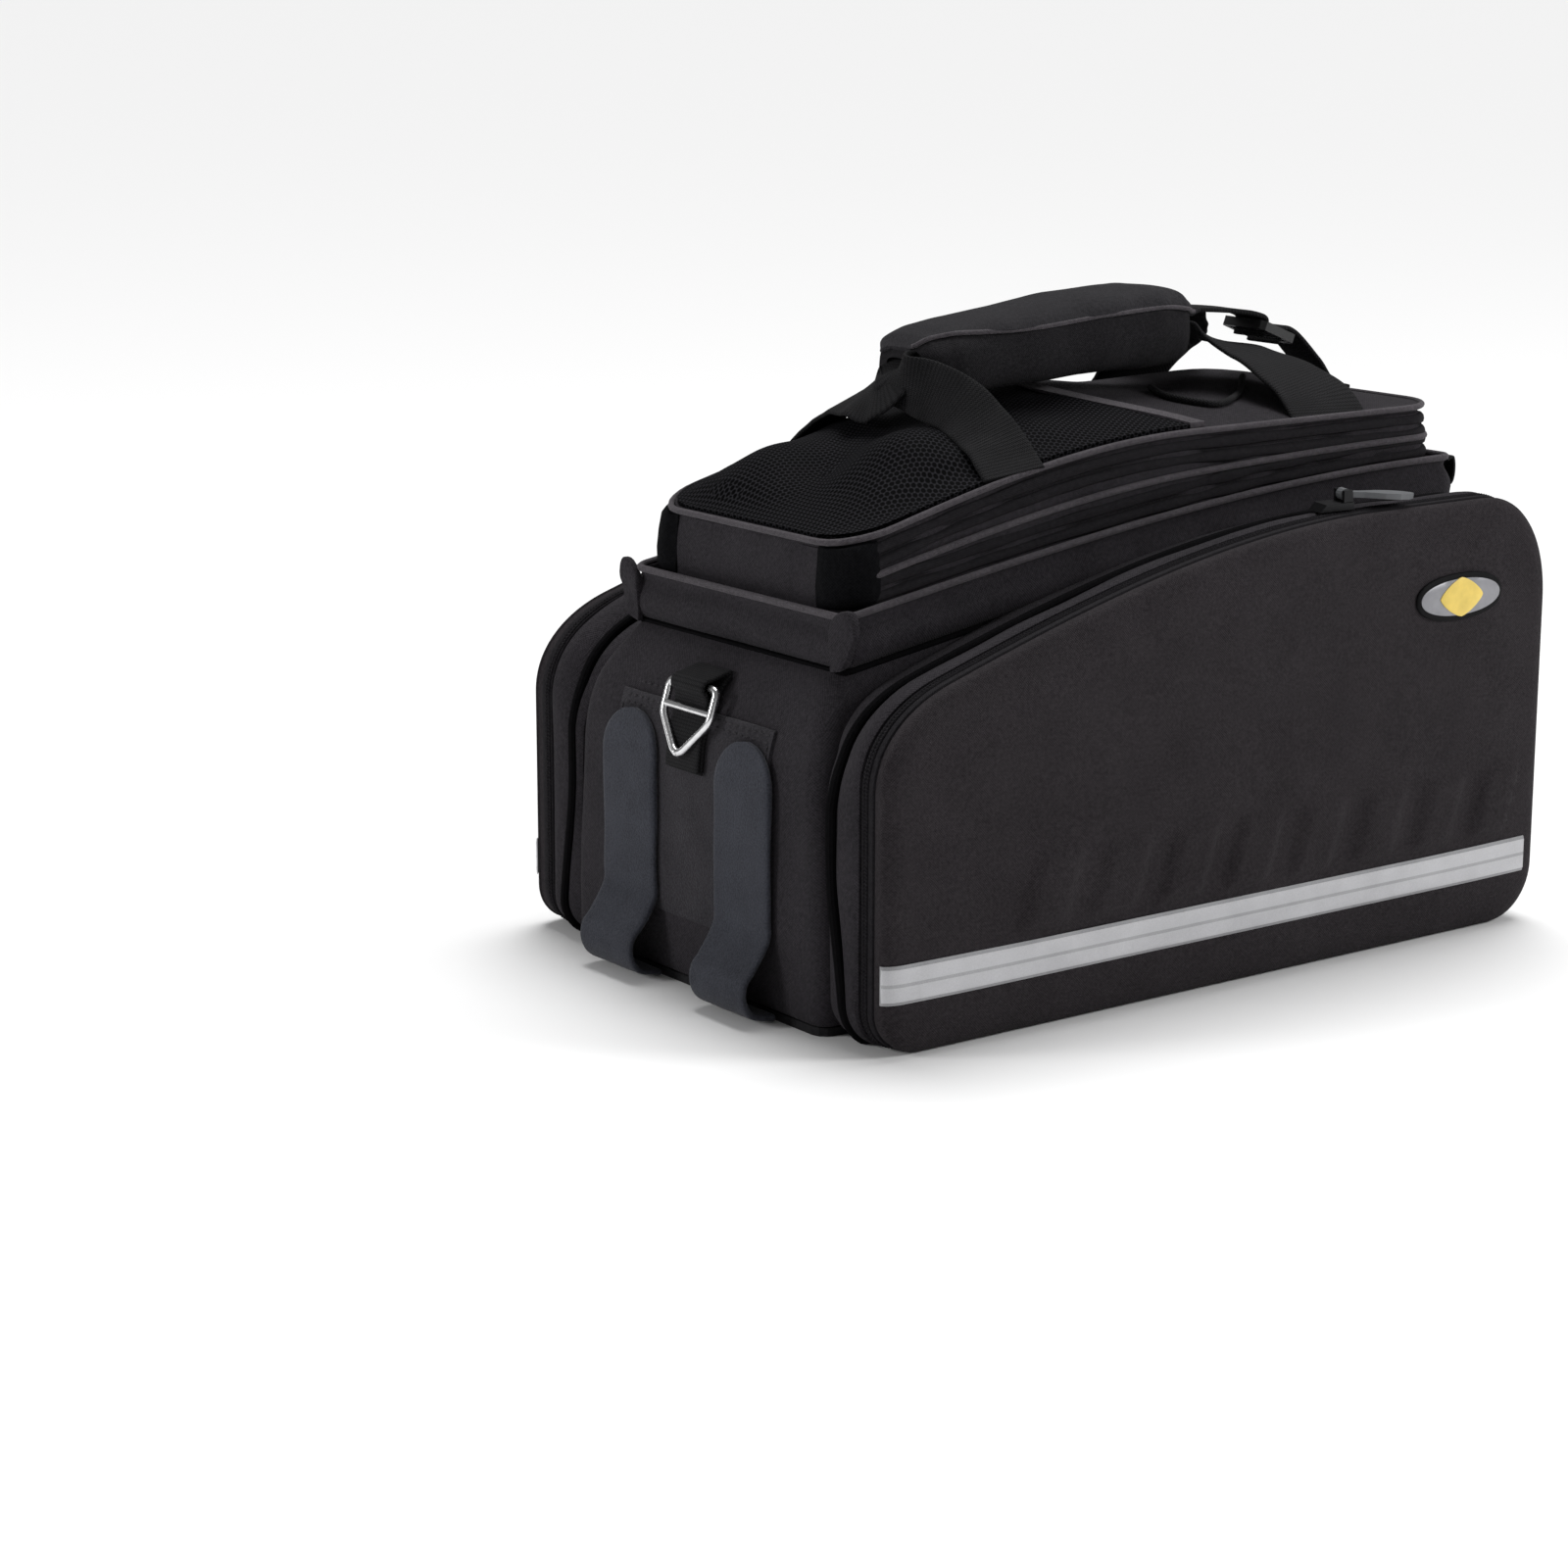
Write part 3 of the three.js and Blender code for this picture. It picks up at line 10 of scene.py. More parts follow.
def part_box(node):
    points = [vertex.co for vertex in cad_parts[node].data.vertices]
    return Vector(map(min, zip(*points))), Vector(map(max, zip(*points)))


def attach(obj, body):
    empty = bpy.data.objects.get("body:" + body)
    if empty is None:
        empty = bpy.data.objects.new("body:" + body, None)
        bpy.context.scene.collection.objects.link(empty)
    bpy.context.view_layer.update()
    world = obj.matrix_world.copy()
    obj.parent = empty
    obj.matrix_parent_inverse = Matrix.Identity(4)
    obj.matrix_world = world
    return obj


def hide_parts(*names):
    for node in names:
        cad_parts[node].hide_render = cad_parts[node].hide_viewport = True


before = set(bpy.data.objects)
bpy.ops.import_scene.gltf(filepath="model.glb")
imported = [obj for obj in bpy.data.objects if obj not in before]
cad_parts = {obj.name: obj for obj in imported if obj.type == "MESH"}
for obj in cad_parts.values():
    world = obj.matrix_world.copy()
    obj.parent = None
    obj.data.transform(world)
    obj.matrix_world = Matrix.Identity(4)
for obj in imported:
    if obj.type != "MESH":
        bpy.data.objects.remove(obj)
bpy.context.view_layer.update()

# Camera, floor and lights: a table-top with a pale floor that runs off to white, a soft lamp
# beside the bag, a weaker one ahead of it, and broad light from above.
camera_turn, camera_tilt = 36.17, 13.42
floor_size = 60
room_glow, backdrop_glow = 0.2, 0.96


def add_object(name, data):
    made = bpy.data.objects.new(name, data)
    bpy.context.scene.collection.objects.link(made)
    return made


camera_data = bpy.data.cameras.new("camera")
camera_data.lens = 83.13
camera_data.sensor_width = 36
camera_data.clip_end = 100
camera = add_object("camera", camera_data)
camera.location = (-0.9918, -1.1773, 0.4284)
camera.rotation_euler = (math.radians(90 - camera_tilt), 0, math.radians(-camera_turn))
bpy.context.scene.camera = camera
bpy.context.scene.view_settings.view_transform = "Standard"

bpy.ops.mesh.primitive_plane_add(size=floor_size, location=(0, 0, 0))
floor = bpy.context.object
floor.name = "studio_floor"
floor_paint = bpy.data.materials.new("floor_paint")
floor_paint.use_nodes = True
floor_surface = floor_paint.node_tree.nodes["Principled BSDF"]
floor_surface.inputs["Base Color"].default_value = (0.9, 0.9, 0.9, 1)
floor_surface.inputs["Roughness"].default_value = 0.9
floor.data.materials.append(floor_paint)

studio = bpy.data.worlds.new("studio")
studio.use_nodes = True
studio_nodes, studio_links = studio.node_tree.nodes, studio.node_tree.links
studio_nodes["Background"].inputs["Color"].default_value = (1, 1, 1, 1)
ray_kind = studio_nodes.new("ShaderNodeLightPath")
glow = studio_nodes.new("ShaderNodeMapRange")
glow.inputs["To Min"].default_value = room_glow
glow.inputs["To Max"].default_value = backdrop_glow
studio_links.new(ray_kind.outputs["Is Camera Ray"], glow.inputs["Value"])
studio_links.new(glow.outputs[0], studio_nodes["Background"].inputs["Strength"])
bpy.context.scene.world = studio


def soft_light(name, place, aim, size, power):
    data = bpy.data.lights.new(name, "AREA")
    data.shape = "DISK"
    data.size = size
    data.energy = power
    lamp = add_object(name, data)
    lamp.location = place
    lamp.rotation_euler = (Vector(aim) - Vector(place)).to_track_quat("-Z", "Y").to_euler()


soft_light("side_light", (1.6, -1.6, 1.2), (0.05, 0, 0.12), 0.8, 31)
soft_light("front_light", (-2.2, 0.9, 0.9), (0, 0, 0.12), 0.7, 20)
sky_data = bpy.data.lights.new("sky_light", "SUN")
sky_data.energy = 2.75
sky_data.angle = math.radians(40)
sky_light = add_object("sky_light", sky_data)
sky_light.rotation_euler = (math.radians(-14), math.radians(16), 0)

# Main compartment: a tub of padded cloth that leans in towards its mouth, foam between woven
# cloth and lining, sewn at the upright corners and along the seam. All lengths of the cloth
# pieces are in millimetres, measured from the middle of the tub.
tub_low, tub_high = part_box("main_compartment")
tub_middle = (tub_low.x + tub_high.x) / 2
body_front, body_rear, body_half = -180.0, 180.0, 89.0
tub_floor, tub_wall, tub_corner, least_corner = 3.8, 5.0, 9.0, 1.5
seam_height, seam_rise = 142.0, 35.0
front_lean, rear_lean, side_lean = 24.0, 4.0, 17.0
seam_front, seam_rear, seam_half = body_front + front_lean, body_rear - rear_lean, body_half - side_lean


def table(columns, *rows):
    """A small table: each row becomes a record of its named columns."""
    return [dict(zip(columns.split(), row)) for row in rows]


wall_rows = table(
    "height lean narrow",
    (0.0, 0.0, 0.0),
    (0.34, 0.0, 0.08),
    (0.67, 0.01, 0.22),
    (0.8, 0.13, 0.37),
    (0.9, 0.42, 0.62),
    (1.0, 1.0, 1.0),
)


def mix(start, end, share):
    return start + (end - start) * share


def spread(start, end, steps):
    """Evenly spaced values from start to end, both included."""
    return [mix(start, end, i / steps) for i in range(steps + 1)]


def clamp01(value):
    return min(1.0, max(0.0, value))


def ease_out(share):
    return math.sin(clamp01(share) * math.pi / 2)


def smooth(share):
    return clamp01(share) ** 2 * (3 - 2 * clamp01(share))


def read_table(rows, key, column, at):
    if at <= rows[0][key]:
        return rows[0][column]
    for row, after in zip(rows, rows[1:]):
        if at <= after[key]:
            return mix(row[column], after[column], (at - row[key]) / (after[key] - row[key]))
    return rows[-1][column]


def blurred(rows, key, column, at, reach=0.05):
    steps = (-1, -0.5, 0, 0.5, 1)
    return sum(read_table(rows, key, column, at + reach * step) for step in steps) / len(steps)


def seam_at(x):
    return seam_height + seam_rise * ease_out((x - seam_front) / (seam_rear - seam_front))


def wall_share(x, z):
    return clamp01((z - tub_floor) / (seam_at(x) - tub_floor))


def plan_loop(front, rear, half, radius, corner=8, long=72, short=32):
    """A rounded rectangle seen from above, from its front left corner round by the rear."""
    points = []
    turns = [
        (front + radius, -half + radius, math.pi, long),
        (rear - radius, -half + radius, 1.5 * math.pi, short),
        (rear - radius, half - radius, 0, long),
        (front + radius, half - radius, 0.5 * math.pi, short),
    ]
    for number, (x, y, turn, side) in enumerate(turns):
        for i in range(corner + 1):
            angle = turn + math.pi / 2 * i / corner
            points.append((x + radius * math.cos(angle), y + radius * math.sin(angle)))
        next_x, next_y, next_turn, _ = turns[(number + 1) % 4]
        start = points[-1]
        end = (next_x + radius * math.cos(next_turn), next_y + radius * math.sin(next_turn))
        for i in range(1, side):
            points.append((mix(start[0], end[0], i / side), mix(start[1], end[1], i / side)))
    return points


def new_mesh(name, spots, faces):
    mesh = bpy.data.meshes.new(name)
    places = [(p.x * 0.001 + tub_middle, p.y * 0.001, p.z * 0.001) for p in spots]
    mesh.from_pydata(places, [], faces)
    return mesh


def skin(name, rings, closed_profile=False, along_strip=False, crease=35):
    """A mesh through closed rings of points, shut at both ends or run back to its first ring.
    Its cloth coordinates lie flat on each side of the bag, or round and along a strip."""
    count = len(rings[0])
    spots = [Vector(p) for ring in rings for p in ring]
    faces, cloth = [], []
    across, along = [0.0], [0.0]
    for i in range(count):
        across.append(across[-1] + (spots[(i + 1) % count] - spots[i]).length)
    for r in range(len(rings)):
        here, there = r * count, (r + 1) % len(rings) * count
        middle = sum((spots[there + i] - spots[here + i] for i in range(count)), Vector()) / count
        along.append(along[-1] + middle.length)
    for r in range(len(rings) if closed_profile else len(rings) - 1):
        here, there = r * count, (r + 1) % len(rings) * count
        for i in range(count):
            j = (i + 1) % count
            faces.append((here + i, here + j, there + j, there + i))
            cloth += [(across[i], along[r]), (across[i + 1], along[r])]
            cloth += [(across[i + 1], along[r + 1]), (across[i], along[r + 1])]
    if not closed_profile:
        for start in (0, (len(rings) - 1) * count):
            spots.append(sum(spots[start : start + count], Vector()) / count)
            for i in range(count):
                faces.append((start + i, start + (i + 1) % count, len(spots) - 1))
                cloth += [(across[i], 0), (across[i + 1], 0), (across[i], 1)]
    mesh = new_mesh(name, spots, faces)
    layer = mesh.uv_layers.new(name="cloth")
    if along_strip:
        for loop, place in zip(layer.data, cloth):
            loop.uv = place
    shell = bmesh.new()
    shell.from_mesh(mesh)
    bmesh.ops.recalc_face_normals(shell, faces=shell.faces)
    for edge in shell.edges:
        edge.smooth = len(edge.link_faces) != 2 or edge.calc_face_angle() < math.radians(crease)
    place = shell.loops.layers.uv["cloth"]
    for face in shell.faces:
        face.smooth = True
        if along_strip:
            continue
        size = [abs(part) for part in face.normal]
        axis = size.index(max(size))
        first, second = [k for k in range(3) if k != axis]
        for loop in face.loops:
            loop[place].uv = (loop.vert.co[first] * 1000, loop.vert.co[second] * 1000)
    shell.to_mesh(mesh)
    shell.free()
    return add_object(name, mesh)


def rumple(piece, height, width, seed, where=None):
    """Moves the surface in and out by soft folds, in millimetres."""
    shifts = []
    for vertex in piece.data.vertices:
        spot = vertex.co * 1000
        fold = noise.noise(spot / width + Vector((seed, 2 * seed, 3 * seed)))
        share = where(spot.x - tub_middle * 1000, spot.y, spot.z) if where else 1.0
        shifts.append(vertex.normal * (fold * height * share * 0.001))
    for vertex, shift in zip(piece.data.vertices, shifts):
        vertex.co += shift


class Weaver:
    """Builds the nodes of one material, as small sums on the cloth's own coordinates."""

    def __init__(self, name, roughness, sheen=0.0, metallic=0.0, shine=0.5):
        self.material = bpy.data.materials.new(name)
        self.material.use_nodes = True
        self.tree = self.material.node_tree
        self.surface = self.tree.nodes["Principled BSDF"]
        self.surface.inputs["Roughness"].default_value = roughness
        self.surface.inputs["Metallic"].default_value = metallic
        self.surface.inputs["Specular IOR Level"].default_value = shine
        self.surface.inputs["Sheen Weight"].default_value = sheen
        self.surface.inputs["Sheen Roughness"].default_value = 0.45

    def node(self, kind, **settings):
        made = self.tree.nodes.new("ShaderNode" + kind)
        for key, value in settings.items():
            setattr(made, key, value)
        return made

    def plug(self, value, socket):
        if hasattr(value, "is_linked"):
            self.tree.links.new(value, socket)
        else:
            socket.default_value = value

    def sum(self, operation, first, second=0.0, third=0.0):
        made = self.node("Math", operation=operation)
        for value, socket in zip((first, second, third), made.inputs):
            self.plug(value, socket)
        return made.outputs[0]

    def scaled(self, value, size, onto=0.0):
        return self.sum("MULTIPLY_ADD", value, size, onto)

    def varied(self, specks, size, onto):
        """Adds the ups and downs of specks, which swing round a half."""
        return self.scaled(self.sum("SUBTRACT", specks, 0.5), size, onto)

    def cloth_place(self):
        place = self.node("UVMap", uv_map="cloth")
        parts = self.node("SeparateXYZ")
        self.plug(place.outputs[0], parts.inputs[0])
        return parts.outputs[0], parts.outputs[1]

    def wave(self, value, pitch, shift=0.0):
        return self.sum("SINE", self.scaled(value, 2 * math.pi / pitch, shift))

    def specks(self, size, detail=2.0):
        place = self.node("TexCoord")
        made = self.node("TexNoise")
        made.inputs["Scale"].default_value = 1000 / size
        made.inputs["Detail"].default_value = detail
        self.plug(place.outputs["Object"], made.inputs["Vector"])
        return made.outputs[0]

    def finish(self, share, dark, light, height, depth):
        """Colours the surface from dark to light by share, and raises it by height."""
        paint = self.node("Mix", data_type="RGBA", clamp_factor=True)
        ends = [socket for socket in paint.inputs if socket.type == "RGBA"]
        for socket, colour in zip(ends, (dark, light)):
            socket.default_value = (*colour, 1)
        self.plug(share, paint.inputs["Factor"])
        painted = [socket for socket in paint.outputs if socket.type == "RGBA"]
        self.plug(painted[0], self.surface.inputs["Base Color"])
        bump = self.node("Bump")
        bump.inputs["Strength"].default_value = 1.0
        bump.inputs["Distance"].default_value = depth * 0.001
        self.plug(height, bump.inputs["Height"])
        self.plug(bump.outputs[0], self.surface.inputs["Normal"])
        return self.material


def woven(name, dark, light, pitch=1.2, roughness=0.8, sheen=0.02, shine=0.06):
    """Plain weave: threads that pass over and under each other, with uneven yarn."""
    cloth = Weaver(name, roughness, sheen, shine=shine)
    u, v = cloth.cloth_place()
    threads = cloth.sum("MULTIPLY", cloth.wave(u, pitch), cloth.wave(v, pitch))
    yarn = cloth.specks(1.3)
    share = cloth.varied(yarn, 1.2, cloth.scaled(threads, 0.22, 0.5))
    share = cloth.varied(cloth.specks(24, 3), 0.5, share)
    return cloth.finish(share, dark, light, cloth.scaled(yarn, 1.2, threads), 0.09)


def dress(piece, material, slot, *nodes, body="bag"):
    piece.data.materials.append(material)
    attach(piece, body)
    if nodes:
        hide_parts(*nodes)
    return piece


def tub_ring(height, inset, floor=tub_floor):
    lean = blurred(wall_rows, "height", "lean", height)
    narrow = blurred(wall_rows, "height", "narrow", height)
    loop = plan_loop(
        body_front + front_lean * lean + inset,
        body_rear - rear_lean * lean - inset,
        body_half - side_lean * narrow - inset,
        max(tub_corner - inset, least_corner),
    )
    return [(x, y, mix(floor, seam_at(x), height)) for x, y in loop]


body_cloth = woven("body_cloth", (0.0105, 0.0095, 0.0112), (0.037, 0.0335, 0.0385))
tub_rings = [tub_ring(height, inset) for height, inset in ((0, 4), (0.008, 1.6), (0.03, 0.3))]
tub_rings += [tub_ring(height, 0) for height in spread(0.05, 0.97, 30)]
tub_rings += [tub_ring(height, inset) for height, inset in ((0.99, 0.5), (1, 1.6), (0.995, tub_wall))]
tub_rings += [tub_ring(height, tub_wall, tub_floor + tub_wall) for height in spread(0.95, 0, 9)]
tub = skin("padded_compartment", tub_rings)
rumple(tub, 0.9, 34, 3, lambda x, y, z: smooth(z / 30) * smooth((seam_at(x) - z) / 25))
dress(tub, body_cloth, "body_fabric", "main_compartment")


# Base board: a stiff plastic sheet in a cloth sleeve, which lies under the tub and keeps the
# bag's bottom flat.
def repaint(node, material):
    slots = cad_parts[node].data.materials
    slots.clear()
    slots.append(material)


repaint("base_board", woven("board_cloth", (0.010, 0.010, 0.011), (0.026, 0.025, 0.027), pitch=1.4))

# Collar: a folded band of the same cloth round the mouth, its corners creased like a box. A seam
# holds its foot, drawn as a near-black cord whose dark is painted shade in the seam's groove, and a
# cord in a lighter sleeve, partly its own grey and partly a painted highlight, is sewn along its rim.
collar_height, collar_flare, collar_wall, collar_corner = 21.0, 2.0, 3.0, 5.0
collar_profile = table(
    "share out",
    (0.0, -1.6),
    (0.05, 0.4),
    (0.14, 2.4),
    (0.28, 3.6),
    (0.42, 3.7),
    (0.56, 3.0),
    (0.68, 1.7),
    (0.78, 0.5),
    (0.88, 0.1),
    (0.95, 0.7),
    (1.0, 1.2),
)


def rim_at(x):
    return seam_at(x) + collar_height


def seam_loop(offset, radius, **facets):
    corner = max(radius + offset, least_corner)
    return plan_loop(seam_front - offset, seam_rear + offset, seam_half + offset, corner, **facets)


def band(name, rows, radius=collar_corner):
    """A skin round the top of the bag, from rows of offset from the seam's outline and height."""
    rings = [[(x, y, height(x)) for x, y in seam_loop(offset, radius)] for offset, height in rows]
    return skin(name, rings, closed_profile=True)


def over_seam(share):
    return lambda x: mix(seam_at(x) + 0.3, rim_at(x), share)


def circle(count):
    """The cosine and sine of each of the corners of a regular outline."""
    turns = [2 * math.pi * i / count for i in range(count)]
    return [(math.cos(turn), math.sin(turn)) for turn in turns]


def bead(offset, height, radius):
    """The section of a round cord that lies on a band, as rows for band()."""

    def lifted(lift):
        return lambda x: height(x) + lift

    return [(offset + radius * c, lifted(radius * s)) for c, s in circle(10)]


collar_rows = [(row["out"], over_seam(row["share"])) for row in collar_profile]
collar_rows += [(collar_flare - collar_wall, over_seam(1))]
collar_rows += [(-collar_wall, over_seam(0.5)), (-collar_wall, over_seam(0.0))]
collar = band("folded_collar", collar_rows)
rumple(collar, 1.3, 24, 5, lambda x, y, z: smooth((z - seam_at(x)) / 6) * smooth((rim_at(x) - z) / 5))
dress(collar, body_cloth, "body_fabric", "collar_band")

# Piping sleeves: lighter than the body cloth, partly their own grey and partly a painted highlight along
# the cords.
piping_dark, piping_light = (0.030, 0.0265, 0.031), (0.092, 0.083, 0.092)
highlit_piping_cloth = woven("highlit_piping_cloth", piping_dark, piping_light, pitch=0.9, roughness=0.7, sheen=0.1)
# Seam cords: near-black, a painted shade in the grooves of the seams they sit in.
seam_dark, seam_light = (0.002, 0.002, 0.0023), (0.006, 0.0056, 0.0064)
shaded_seam_cloth = woven("shaded_seam_cloth", seam_dark, seam_light, pitch=0.8, sheen=0.0, shine=0.02)
rim_cord = band("collar_cord", bead(collar_flare - 0.7, lambda x: rim_at(x) + 1.0, 1.5))
dress(rim_cord, highlit_piping_cloth, "piping", "collar_piping")
mouth_seam = band("mouth_seam", bead(0.1, lambda x: seam_at(x) - 0.2, 1.3))
dress(mouth_seam, shaded_seam_cloth, "piping")

# Corner folds: at each front corner the collar's spare cloth is pinched into a small upright
# flap, doubled over and caught in the seams.
fold_rows = table(
    "out up",
    (-8.0, 2.0),
    (-7.0, 22.0),
    (-3.0, 28.0),
    (5.0, 29.0),
    (8.5, 20.0),
    (2.0, 6.0),
)
fold_layers = table(
    "scale lift",
    (0.97, -0.6),
    (1.0, 0.6),
    (1.0, 1.6),
    (0.95, 2.2),
    (0.8, 2.4),
    (0.35, 2.0),
)
fold_middle_up, fold_drop, fold_lean = 18.0, 3.5, 1.6


def fold_outline(scale):
    """The flap's outline, its corners softened by points a little way along each edge."""
    points = []
    for i, row in enumerate(fold_rows):
        for share in (-0.3, -0.15, 0, 0.15, 0.3):
            other = fold_rows[i - 1] if share < 0 else fold_rows[(i + 1) % len(fold_rows)]
            reach = abs(share)
            soft = 0.07 * (1 - reach / 0.3)
            out = mix(mix(row["out"], other["out"], reach), 0.0, soft)
            up = mix(mix(row["up"], other["up"], reach), fold_middle_up, soft)
            points.append((out * scale, fold_middle_up + (up - fold_middle_up) * scale))
    return points


def corner_fold(name, side):
    rings = []
    for layer in fold_layers:
        ring = []
        for out, up in fold_outline(layer["scale"]):
            x = seam_front - collar_flare - layer["lift"] + fold_lean * clamp01(out / 10)
            ring.append((x, side * (seam_half + collar_flare + out), seam_height + up - fold_drop))
        rings.append(ring)
    fold = skin(name, rings)
    rumple(fold, 1.6, 12, 41 + side)
    dress(fold, body_cloth, "body_fabric")


corner_fold("corner_fold_near", -1)
corner_fold("corner_fold_far", 1)

# Expansion band: cloth between collar and lid, gathered by one zip at its foot and closed by the
# lid's zip at its top. Both zips are coils with their woven tapes folded out, and a corded seam
# runs between them.
band_height, band_wall, band_corner = 28.0, 2.5, 20.0
lid_inset, lid_rear_inset, lid_wall = 5.0, 1.5, 3.0
lid_front, lid_rear = seam_front + lid_inset, seam_rear - lid_rear_inset
lid_half = seam_half - lid_inset
lid_middle = (lid_front + lid_rear) / 2
lid_rise, lid_rise_length = 31.0, 180.0
band_foot, band_top = -collar_wall - 0.6, -lid_inset - 0.3
zip_width, coil_dip = 10.2, 0.3
strip_facets = {"corner": 24, "long": 300, "short": 130}


def lid_edge_at(x):
    rise = lid_rise * ease_out((x - lid_front) / lid_rise_length)
    return seam_height + collar_height + band_height + rise


def band_top_at(x):
    return lid_edge_at(x) - lid_wall - 0.3


def over_rim(share):
    return lambda x: mix(rim_at(x), band_top_at(x), share)


def band_offset_at(x, z):
    return mix(band_foot, band_top, clamp01((z - rim_at(x)) / (band_top_at(x) - rim_at(x))))


band_rows = [(band_foot, over_seam(0.1)), (band_foot, over_seam(0.9))]
for share in spread(0, 1, 8):
    puff = 0.9 * math.sin(math.pi * share)
    band_rows.append((mix(band_foot, band_top, share) + puff, over_rim(share)))
band_rows += [(band_top - band_wall, band_top_at), (band_foot - band_wall, rim_at)]
band_rows += [(band_foot - band_wall, over_seam(0.1))]
gathered = band("gathered_band", band_rows, band_corner)
rumple(gathered, 1.2, 22, 7)
dress(gathered, body_cloth, "body_fabric", "expansion_band")


def zip_weave(name, dark, light, pitch):
    """Woven zip tape with a fine rib along its length."""
    tape = Weaver(name, 0.75, 0.01, shine=0.05)
    u, v = tape.cloth_place()
    rib = tape.sum("MULTIPLY", tape.wave(u, pitch), tape.wave(v, pitch * 1.6))
    yarn = tape.specks(1.5)
    return tape.finish(tape.scaled(rib, 0.25, yarn), dark, light, tape.scaled(yarn, 0.8, rib), 0.05)


zip_tape = zip_weave("zip_tape", (0.0055, 0.005, 0.006), (0.021, 0.0195, 0.022), 0.9)


def band_strip(name, section, low_at, width, dip=lambda up: 0.0):
    """A strip along the sides and rear of the band, from a section of out and up."""
    base = seam_loop(0, band_corner, **strip_facets)
    first = strip_facets["corner"] - 4
    loops, rings = {}, []
    for number in range(first, len(base) - strip_facets["short"] - first):
        ring = []
        for out, up in section:
            x = base[number][0]
            z = low_at(x) + width * up
            offset = round(band_offset_at(x, z) + 0.2 + (out - dip(up) * (number % 2)) * 1.1, 2)
            if offset not in loops:
                loops[offset] = seam_loop(offset, band_corner, **strip_facets)
            ring.append((loops[offset][number][0], loops[offset][number][1], z))
        rings.append(ring)
    return skin(name, rings, along_strip=True)


def band_zip(name, low_at, node):
    """Two tapes that roll out softly over a coil sunk between them."""
    section = [(0.0, 0.0), (0.9, 0.01), (1.8, 0.08), (2.1, 0.18), (2.0, 0.3), (1.5, 0.4), (0.7, 0.44)]
    section += [(0.3, 0.46), (0.8, 0.49), (0.8, 0.52), (0.3, 0.55)]
    section += [(0.9, 0.57), (1.7, 0.63), (2.0, 0.74), (1.9, 0.88), (1.2, 0.98), (0.0, 1.0)]
    piece = band_strip(name, section, low_at, zip_width, lambda up: coil_dip if 0.48 < up < 0.53 else 0.0)
    rumple(piece, 0.9, 20, 47, lambda x, y, z: smooth((x - lid_front - 10) / 25))
    dress(piece, zip_tape, "zipper", node)


band_zip("expansion_zip", over_rim(0.06), "expansion_zipper")
band_zip("lid_zip", lambda x: over_rim(0.98)(x) - zip_width, "lid_zipper")
# The cord between the zips takes the piping's lighter sleeve, partly a painted highlight.
cord_section = [(1.9 + 1.25 * c, 0.5 + 0.5 * s) for c, s in circle(10)]
between_zips = band_strip("band_cord", cord_section, lambda x: over_rim(0.51)(x) - 1.4, 2.8)
dress(between_zips, highlit_piping_cloth, "piping")

# Zip ends: squares of black webbing folded over the ends of both zips and sewn down round the
# front corners of the band.
end_dark, end_light = (0.002, 0.002, 0.0024), (0.008, 0.008, 0.009)
end_cloth = woven("end_cloth", end_dark, end_light, sheen=0.0, shine=0.02)
end_section = [(0, 0), (1.5, 0.02), (2.6, 0.1), (2.9, 0.35), (2.9, 0.65), (2.6, 0.9), (1.5, 0.98), (0, 1)]
end_lift, end_height, end_from, end_to = 1.2, 24.6, -1, 24


def zip_end(name, node, side):
    rings = []
    base = seam_loop(0, band_corner, corner=24)
    for step in range(end_from, end_to):
        ring = []
        swell = 1 - 0.5 * abs(step - 11.5) ** 6 / 11.5**6
        for out, up in end_section:
            x = base[step][0]
            z = rim_at(x) + end_lift + end_height * up
            loop = seam_loop(band_offset_at(x, z) + 0.3 + 1.2 * out * swell, band_corner, corner=24)
            ring.append((loop[step][0], side * loop[step][1], z))
        rings.append(ring)
    piece = skin(name, rings)
    rumple(piece, 0.8, 12, 11)
    dress(piece, end_cloth, "webbing", node)


zip_end("zip_end_near", "zipper_end_left", 1)
zip_end("zip_end_far", "zipper_end_right", -1)

# Lid: a padded dome of the same cloth, softly lumped by what lies under it. A cord in a lighter
# sleeve is sewn into the seam round its edge; the sleeve's light grey is partly its own and partly a
# painted highlight.
lid_crown, lid_puff, flat_puff, lid_corner = 10.0, 5.0, 0.35, 22.0
lid_cord_out, lid_cord_drop, lid_cord_radius = 1.7, 0.4, 1.35
lobes = table(
    "along across height spread",
    (0.2, -0.28, 1.0, 0.3),
    (0.27, 0.42, 0.85, 0.27),
    (0.44, -0.1, 0.55, 0.25),
    (0.5, 0.5, 1.0, 0.24),
    (0.85, 0.1, 1.5, 0.32),
)


def lid_top_at(x, y):
    along = abs(x - lid_middle) / ((lid_rear - lid_front) / 2)
    across = abs(y) / lid_half
    inward = clamp01(1 - (along**5 + across**5) ** 0.2)
    puff = -flat_puff
    for lobe in lobes:
        dx = (x - mix(lid_front, lid_rear, lobe["along"])) / (2 * lid_half)
        dy = y / (2 * lid_half) - lobe["across"] / 2
        puff += lobe["height"] * math.exp(-(dx * dx + dy * dy) / lobe["spread"] ** 2)
    return lid_edge_at(x) + (1 - (1 - inward) ** 3) * (lid_crown + lid_puff * puff)


lid_loop = plan_loop(lid_front, lid_rear, lid_half, lid_corner)


def lid_ring(share, rise=0.0):
    ring = []
    for x, y in lid_loop:
        px, py = mix(x, lid_middle, share), y * (1 - share)
        ring.append((px, py, lid_top_at(px, py) + rise))
    return ring


